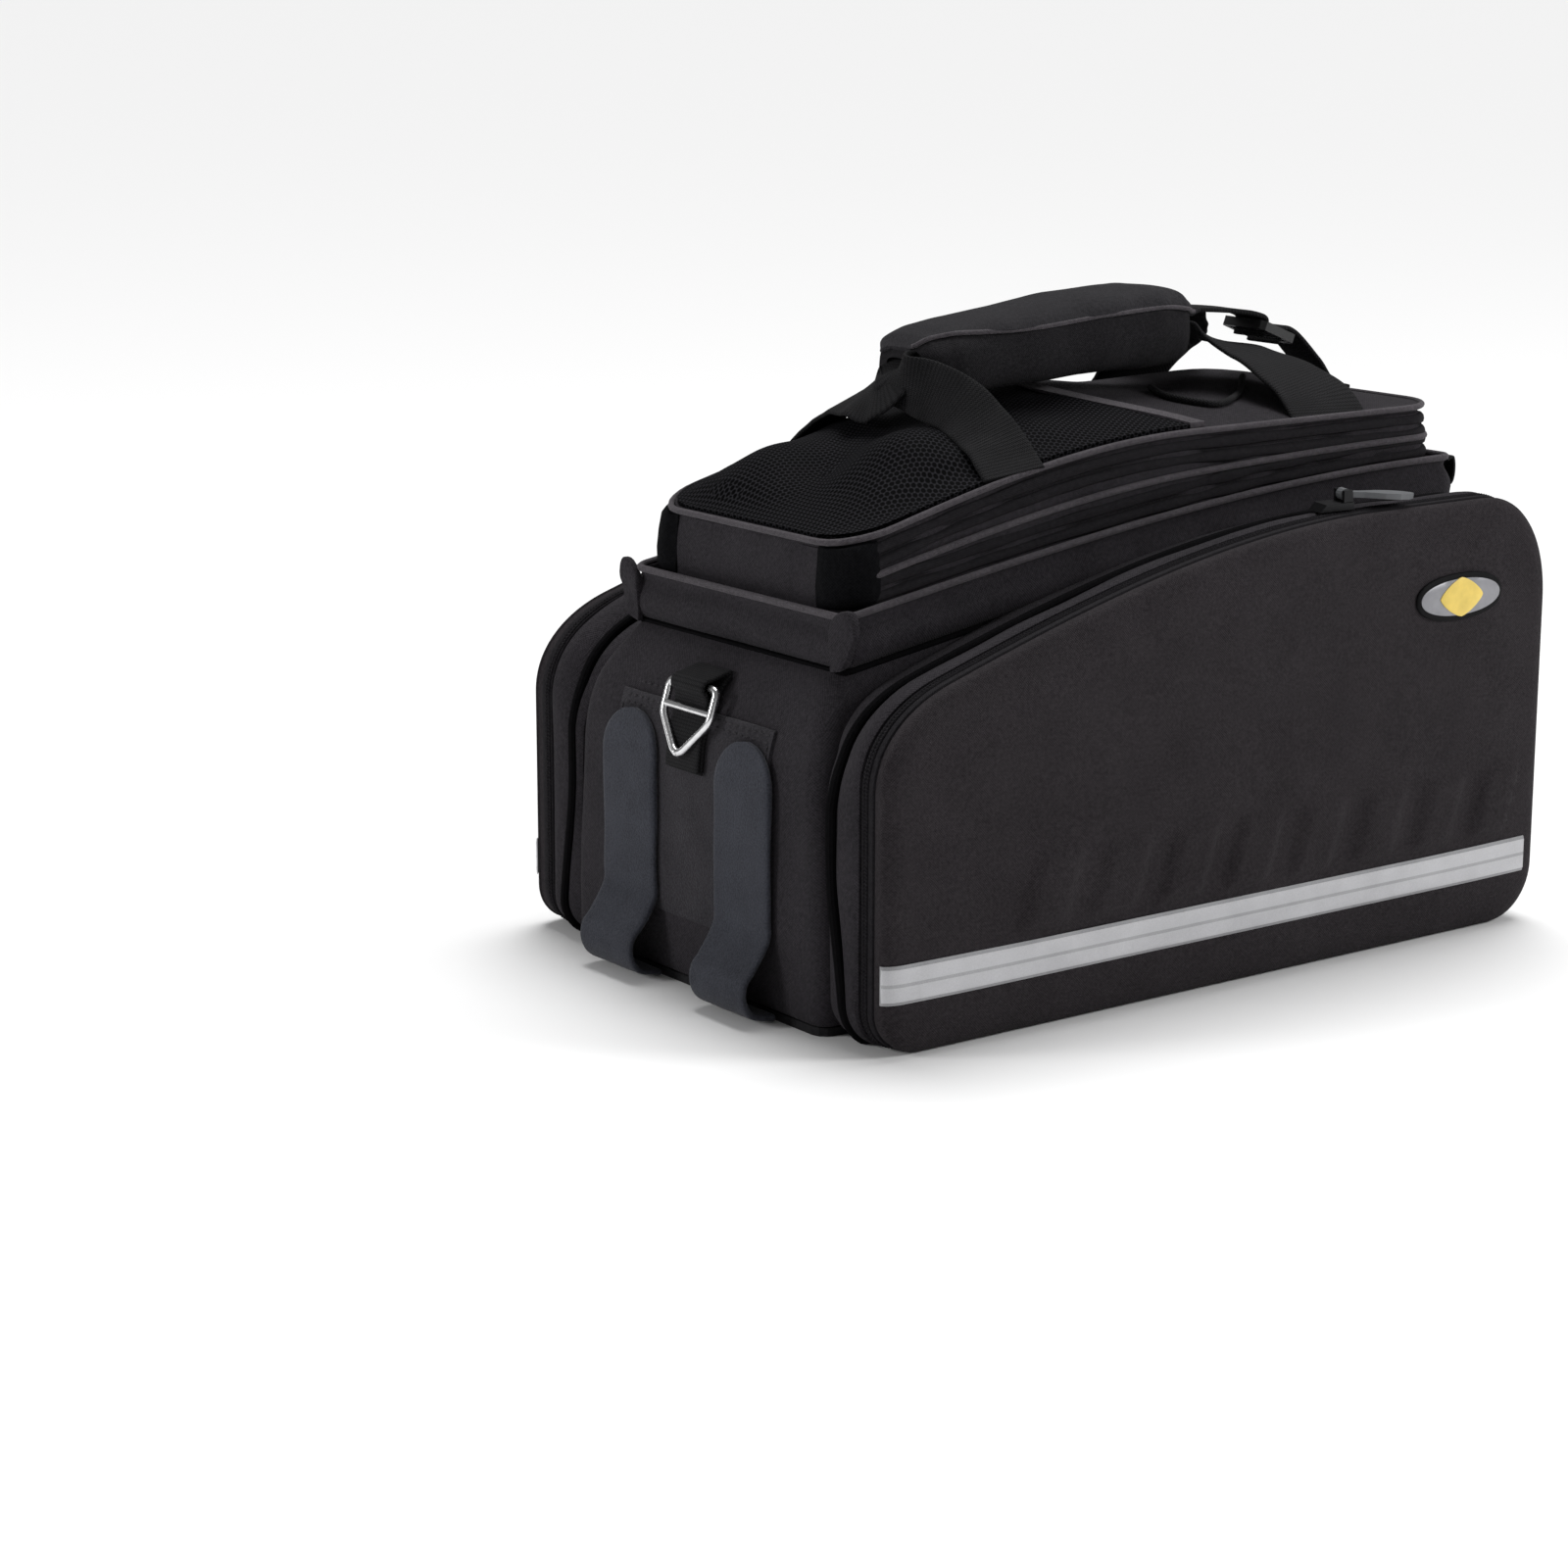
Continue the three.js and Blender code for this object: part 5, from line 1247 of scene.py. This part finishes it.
def wire_skin(name, line, radius, sides=12, closed=False):
    """A round wire or cord along a line."""
    count = len(line)
    rings = []
    for i, spot in enumerate(line):
        after = line[(i + 1) % count] if closed else line[min(i + 1, count - 1)]
        before = line[i - 1] if closed else line[max(i - 1, 0)]
        along = (after - before).normalized()
        first = along.cross(Vector((0.97, 0.05, 0.24))).normalized()
        second = along.cross(first)
        rings.append([spot + radius * (first * c + second * s) for c, s in circle(sides)])
    return skin(name, rings, closed_profile=closed, along_strip=True, crease=80)


def rounded(points, radius, steps=6):
    """A closed line with its corners rounded."""
    line = []
    for before, corner, after in zip(points[-1:] + points[:-1], points, points[1:] + points[:1]):
        start = corner + (before - corner).normalized() * radius
        end = corner + (after - corner).normalized() * radius
        for share in spread(0, 1, steps):
            line.append(start.lerp(corner, share).lerp(corner.lerp(end, share), share))
    return line


def shoulder_ring(tag, panel_out, direction, under_tab):
    seat = under_tab + panel_gap
    bar = panel_out(ring_level) + seat + tab_pad + ring_hole
    wire = ring_wire / 2
    drop = ring_height - wire
    rest = panel_out(ring_level - drop) + seat + 2
    tilt = max(0.0, math.atan2(rest + ring_rest_gap + wire - bar, drop))
    half = ring_width / 2 - wire

    def placed(y, z):
        return Vector((direction * (bar - z * math.sin(tilt)), y, ring_level + z * math.cos(tilt)))

    shoulder = -ring_bar_drop - ring_wire
    corners = [(half, 0), (-half, 0), (-half, shoulder)]
    corners += [(-ring_tip, -drop), (ring_tip, -drop), (half, shoulder)]
    outline = rounded([placed(y, z) for y, z in corners], 3.0)
    loop = wire_skin(f"ring_wire_{tag}", outline, wire, closed=True)
    cross = [placed(y, -ring_bar_drop) for y in spread(-half, half, 8)]
    cross_bar = wire_skin(f"ring_bar_{tag}", cross, wire * 0.92)
    dress(loop, ring_steel, "ring_steel", f"d_ring_{tag}", body=f"{tag}_ring")
    dress(cross_bar, ring_steel, "ring_steel", body=f"{tag}_ring")

    points = [(panel_out(z) + seat + 0.9, z) for z in (93, 106, 120, 128)]
    points += [(panel_out(134) + seat + 1.2, 133.4)]
    for degrees in (100, 60, 20, -20, -60):
        angle = math.radians(degrees)
        points.append((bar + tab_loop * math.cos(angle), ring_level + tab_loop * math.sin(angle)))
    points += [(panel_out(z) + seat + 2.7, z) for z in (118, 110, 102, 94)]
    line = curve_through([(direction * out, 0, z) for out, z in points], 8)
    tab = plain_tape(f"ring_tab_{tag}", line, tab_width, tab_thickness)
    dress(tab, black_webbing, "webbing", f"d_ring_tab_{tag}")


shoulder_ring("front", front_out, -1, 1.3)
shoulder_ring("rear", rear_out, 1, 0.0)

# Handle grip: a padded sleeve of cloth sewn round the handle's straps. It is drawn in at both
# ends, hangs deepest at its rear, and is hollow where the straps run through. Its cloth is painted
# darker than the flap's, a painted shade on the sleeve's sides and underside.
grip_length, grip_width, grip_thickness, grip_rise = 146.0, 46.0, 26.0, 12.0
grip_front, grip_rear = -grip_length / 2, grip_length / 2
grip_height = lid_edge_at(lid_rear) + 27.0
grip_wall, grip_sag, grip_square = 4.6, 9.0, 0.62
grip_rows = table(
    "along rise full",
    (0, 0, 0.62),
    (0.03, 0.03, 0.86),
    (0.1, 0.12, 1),
    (0.35, 0.48, 1),
    (0.6, 0.8, 1),
    (0.85, 1, 1),
    (0.96, 1, 0.88),
    (1, 0.98, 0.66),
)


def grip_row_at(x, column):
    return read_table(grip_rows, "along", column, (x - grip_front) / grip_length)


def grip_at(x):
    return grip_height + grip_rise * grip_row_at(x, "rise")


def square(value):
    return math.copysign(abs(value) ** grip_square, value)


def grip_spot(x, share, out=0.0):
    """A place on the grip: share runs once round its squarish section from the near side."""
    angle = 2 * math.pi * share
    full = grip_row_at(x, "full")
    along = clamp01((x - grip_front) / grip_length)
    sag = grip_sag * along**0.9 if angle > math.pi else 0.0
    y = (grip_width / 2 * full + out) * square(math.cos(angle))
    z = (grip_thickness / 2 * full + out + sag) * square(math.sin(angle))
    return (x, -y, grip_at(x) + z)


# The sleeve's cloth is darker than the flap's: painted shade on the grip's sides and underside.
shaded_padded_cloth = woven("shaded_padded_cloth", (0.006, 0.0057, 0.0066), (0.022, 0.0208, 0.023), pitch=1.0)
sleeve_rings = [[grip_spot(x, j / 56, 0.2) for j in range(56)] for x in spread(grip_front, grip_rear, 60)]
for x in spread(grip_rear - 0.2, grip_front + 0.2, 30):
    sleeve_rings.append([grip_spot(x, j / 56, -grip_wall) for j in range(56)])
sleeve = skin("grip_sleeve", sleeve_rings, closed_profile=True)
rumple(sleeve, 1.3, 22, 31)
dress(sleeve, shaded_padded_cloth, "padded_fabric", "handle_grip")

# Grip flap: a second padded layer that wraps over the sleeve's top, with an S-curved edge that
# is finished with a cord. The cord's lighter sleeve is partly a painted highlight along that edge.
flap_from, flap_to = grip_front - 1.0, grip_rear + 1.5
flap_edge = table(
    "along share",
    (0, 0.2),
    (0.08, 0.17),
    (0.22, 0.105),
    (0.36, 0.07),
    (0.6, 0.06),
    (0.85, 0.052),
    (0.95, 0.04),
    (1, 0.02),
)


def flap_share(x):
    return blurred(flap_edge, "along", "share", (x - flap_from) / (flap_to - flap_from), 0.06)


flap_rings = []
for i, x in enumerate(spread(flap_from, flap_to, 80)):
    swell = math.sin(math.pi * clamp01(i / 80)) ** 0.25
    first, last = flap_share(x), 0.5 - 0.4 * flap_share(x)
    outer = [grip_spot(x, share, 0.4 + 2.0 * swell) for share in spread(first, last, 40)]
    flap_rings.append(outer + [grip_spot(x, share, -1.0) for share in spread(last, first, 40)])
flap = skin("grip_flap", flap_rings)
rumple(flap, 0.9, 20, 37)
flap_cloth = woven("flap_cloth", (0.010, 0.0095, 0.011), (0.032, 0.0305, 0.034), pitch=1.0)
dress(flap, flap_cloth, "padded_fabric")
# The flap cord's light sleeve is partly a painted highlight along the flap's edge.
flap_line = [Vector(grip_spot(x, flap_share(x), 1.5)) for x in spread(flap_from, flap_to, 90)]
flap_cord = wire_skin("flap_cord", flap_line, 1.0, 8)
dress(flap_cord, highlit_piping_cloth, "piping")

# Handle straps: two straps of nylon webbing, one over the other through the grip. Each runs from
# one edge of the lid up into the grip and turns down to the same edge behind it.
webbing_width, webbing_thickness, strap_layer, cloth_gap = 25.0, 2.0, 2.8, 0.6
near_front_rows = table(
    "x out z across width",
    (-68.4, 68.5, 212.0, (-0.97, 0.0, -0.24), 29),
    (-68.4, 64.0, 216.0, (-0.97, 0.0, -0.24), 29),
    (-68.6, 57.0, 222.8, (-0.94, 0.04, -0.34), 27),
    (-69.4, 47.0, 229.6, (-0.82, 0.08, -0.56), 25.5),
    (-71.0, 35.0, 236.6, (-0.6, 0.12, -0.79), 25),
    (-74.5, 22.0, 241.0, (-0.36, 0.3, -0.86), 25),
    (-79.0, 8.0, 244.4, (0.12, 0.62, -0.76), 25),
    (-76.0, 1.5, 247.6, (0.1, 0.93, -0.36), 25),
)
far_front_rows = table(
    "x out z across width",
    (-67.0, 68.5, 212.0, (-0.97, 0.0, -0.24), 29),
    (-67.0, 64.0, 216.0, (-0.97, 0.0, -0.24), 28),
    (-67.5, 54.0, 223.5, (-0.96, 0.1, -0.22), 26),
    (-70.0, 40.0, 230.5, (-0.9, 0.3, -0.2), 25),
    (-76.0, 22.0, 235.0, (-0.68, 0.68, -0.18), 25),
    (-80.0, 8.0, 237.5, (-0.3, 0.93, -0.12), 25),
    (-78.0, 1.0, 242.5, (0.0, 0.99, -0.05), 25),
)
rear_anchor, anchor_width, lid_seat, edge_inset = 108.0, 44.0, 3.4, 5.0
strap_rear_rows = table(
    "start along out down turn part",
    (grip_rear, -6, 0, 0, 0, 1),
    (grip_rear, 2, 0, 0, 0, 1.2),
    (grip_rear, 9, 0.07, 0.04, 0.15, 2.6),
    (grip_rear, 16, 0.22, 0.2, 0.4, 3.2),
    (grip_rear, 24, 0.45, 0.42, 0.7, 1),
    (rear_anchor, -4, 0.74, 0.68, 0.9, 0),
    (rear_anchor, 0, 0.95, 0.94, 1, 0),
    (rear_anchor, 0, 1.08, 1.18, 1, 0),
)


def belt_through(name, stations, steps=10):
    """A tape through stations, each a place, the direction of its width, and the width."""
    line = curve_through([at for at, _, _ in stations], steps)
    across, widths = [], []
    for i in range(len(line)):
        number = min(i // steps, len(stations) - 2)
        share = smooth(i / steps - number)
        (_, side, width), (_, next_side, next_width) = stations[number : number + 2]
        across.append(Vector(side).lerp(Vector(next_side), share))
        widths.append(mix(width, next_width, share))
    return tape(name, line, across, widths, webbing_thickness)


def handle_strap(tag, side, layer, front_rows):
    edge = side * (lid_half - edge_inset)
    stations = []
    for row in front_rows:
        x, y, z = row["across"]
        stations.append(((row["x"], side * row["out"], row["z"]), (x, -side * y, z), row["width"]))
    for row in grip_rows[1:-2]:
        x = mix(grip_front, grip_rear, row["along"])
        stations.append(((x, 0, grip_at(x) + layer * strap_layer), (0, -side, 0), webbing_width))
    rear_end, front_end = rear_anchor + anchor_width / 2, rear_anchor - anchor_width / 2
    rise = lid_top_at(rear_end, edge) - lid_top_at(front_end, edge)
    for row in strap_rear_rows:
        x, turn = row["start"] + row["along"], row["turn"]
        top = grip_at(x) + layer * strap_layer * row["part"]
        height = mix(top, lid_top_at(rear_anchor, edge) + lid_seat, row["down"])
        across = (turn, -side * (1 - turn), turn * rise / anchor_width)
        width = mix(webbing_width, anchor_width, turn)
        stations.append(((x, edge * row["out"], height), across, width))
    strap = belt_through(f"handle_webbing_{tag}", stations)
    dress(strap, black_webbing, "webbing", f"handle_strap_{tag}")


handle_strap("left", -1, -0.5, near_front_rows)
handle_strap("right", 1, 0.5, far_front_rows)

# Adjusting strap: a tail of webbing from inside the grip to a ladder lock of black acetal, and
# a second strap from the lock down to its seam on the lid.
adjuster_width, adjuster_anchor, adjuster_drift = 20.0, 162.0, 10.0
lock_at, lock_tilt, lock_drift = 124.0, math.radians(22), -5.0
lock_height = lid_edge_at(lid_rear) + 30.0
lock_length, lock_bar, lock_thickness = 22.0, 3.0, 4.0
slot_length = (lock_length - 3 * lock_bar) / 2
slot_middle = (lock_bar + slot_length) / 2
over_bar = lock_thickness / 2 + webbing_thickness / 2 + cloth_gap
lock_rows = [(slot_length / 2 + lock_bar + 1, 1.12), (1.4, 1), (0, 0), (-0.4, -1.15)]


def adjuster_stations(spots):
    return [(spot, (0, 1, 0), adjuster_width) for spot in spots]


def from_lock(x, z):
    along = lock_at + x * math.cos(lock_tilt) + z * math.sin(lock_tilt)
    return (along, lock_drift, lock_height - x * math.sin(lock_tilt) + z * math.cos(lock_tilt))


def lock_spots(end):
    return [from_lock(end * (slot_middle + along), over_bar * up) for along, up in lock_rows]


def on_lid(x, lift):
    y = -adjuster_drift
    return (x, y, lid_top_at(x, y) + cloth_gap + webbing_thickness / 2 + lift)


tail = [(x, 0, grip_at(x) + strap_layer) for x in (53.0, 73.0, 85.0)]
upper = belt_through("adjuster_tail", adjuster_stations(tail + lock_spots(-1)))
dress(upper, black_webbing, "webbing", "adjuster_strap_upper")
slack_x = mix(lock_at, adjuster_anchor, 0.68)
slack_z = mix(lock_height, on_lid(slack_x, 0)[2], 0.6)
landing = [(slack_x, mix(lock_drift, -adjuster_drift, 0.5), slack_z)]
landing += [on_lid(adjuster_anchor - 4.5, cloth_gap), on_lid(adjuster_anchor + 4.5, 0)]
lower = belt_through("adjuster_landing", adjuster_stations(lock_spots(1)[::-1] + landing))
dress(lower, black_webbing, "webbing", "adjuster_strap_lower")
repaint("ladder_lock", plain_plastic("lock_plastic", (0.009, 0.009, 0.0095), 0.32))

# Pocket pull: a thin braided cord that lies in a loop on the lid behind the mesh, with both its
# ends sewn into the lid.
pull_points = [(55, -11), (46.5, -31), (52.6, -44), (58.5, -48.5), (77.7, -41), (104.6, -16)]
pull_radius = 1.5


def pull_spot(x, y):
    return Vector((x, y, lid_top_at(x, y) + pull_radius))


pull_line = [pull_spot(p.x, p.y) for p in curve_through([pull_spot(x, y) for x, y in pull_points], 10)]
pocket_pull = wire_skin("pocket_pull", pull_line, pull_radius, 10)
dress(pocket_pull, black_webbing, "webbing")

# Hanging tab: a short loop of webbing, folded double and sewn into the collar near its rear left
# corner.
tab_rows = [(2, 20), (5.5, 21), (6.6, 15), (5.2, 10), (2, 9)]
tab_line = curve_through([(seam_rear + out, -66, seam_at(seam_rear) + up) for out, up in tab_rows], 8)
side_tab = plain_tape("collar_tab", tab_line, 9.0, 1.4)
dress(side_tab, black_webbing, "webbing")

# Stitches: lockstitch in bonded thread along the edges of the loop patch, with two short rows at
# its top. Each stitch is one small raised dash. The black thread is painted lighter than the cloth,
# a painted glint on each stitch.
# Thread colour: lighter than the black cloth, a painted glint standing in for the shine of black thread.
thread_dark, thread_light = (0.014, 0.013, 0.0145), (0.062, 0.058, 0.064)
glinting_thread_cloth = woven("glinting_thread_cloth", thread_dark, thread_light, pitch=0.6, roughness=0.6)
stitch_length, stitch_pitch, stitch_radius, stitch_lift = 2.3, 3.4, 0.32, 0.1
stitch_rows = table("share size", (0, 0.2), (0.2, 0.9), (0.5, 1), (0.8, 0.9), (1, 0.2))
patch_side, patch_foot = patch_half - 2, patch_low + 3


def stitches(name, paths, outward):
    """Rows of stitches on a surface that faces one way, merged into one piece."""
    spots, faces = [], []
    for path in paths:
        reach = 0.0
        for start, end in zip(path, path[1:]):
            span = (end - start).length
            along = (end - start).normalized()
            aside = outward.cross(along).normalized()
            while reach + stitch_length < span:
                first = len(spots)
                for row in stitch_rows:
                    middle = start + along * (reach + row["share"] * stitch_length)
                    middle += outward * stitch_lift
                    for c, s in circle(6):
                        turn = aside * (1.25 * c) + outward * s
                        spots.append(middle + turn * row["size"] * stitch_radius)
                for here in range(first, first + 24, 6):
                    for i in range(6):
                        j = (i + 1) % 6
                        faces.append((here + i, here + j, here + j + 6, here + i + 6))
                faces.append(tuple(range(first + 5, first - 1, -1)))
                faces.append(tuple(range(first + 24, first + 30)))
                reach += stitch_pitch
            reach = max(0.0, reach - span)
    mesh = new_mesh(name, spots, faces)
    layer = mesh.uv_layers.new(name="cloth")
    for loop in mesh.loops:
        spot = spots[loop.vertex_index]
        layer.data[loop.index].uv = (spot.x + spot.y, spot.z)
    for face in mesh.polygons:
        face.use_smooth = True
    dress(add_object(name, mesh), glinting_thread_cloth, "webbing")


def panel_row(y_from, y_to, z_from, z_to, lift, steps=24):
    rows = []
    for share in spread(0, 1, steps):
        z = mix(z_from, z_to, share)
        rows.append(Vector((-front_out(z) - lift, mix(y_from, y_to, share), z)))
    return rows


panel_rows = [panel_row(-patch_side, patch_side, z, z, 1.3) for z in (patch_high - 2, patch_high - 5)]
panel_rows += [panel_row(y, y, patch_foot, patch_high - 5, 1.3) for y in (-patch_side, patch_side)]
panel_rows += [panel_row(28, 46, z, z, 0.25, steps=4) for z in (121.5, 116.0)]
stitches("panel_stitches", panel_rows, Vector((-1, 0, 0.05)).normalized())
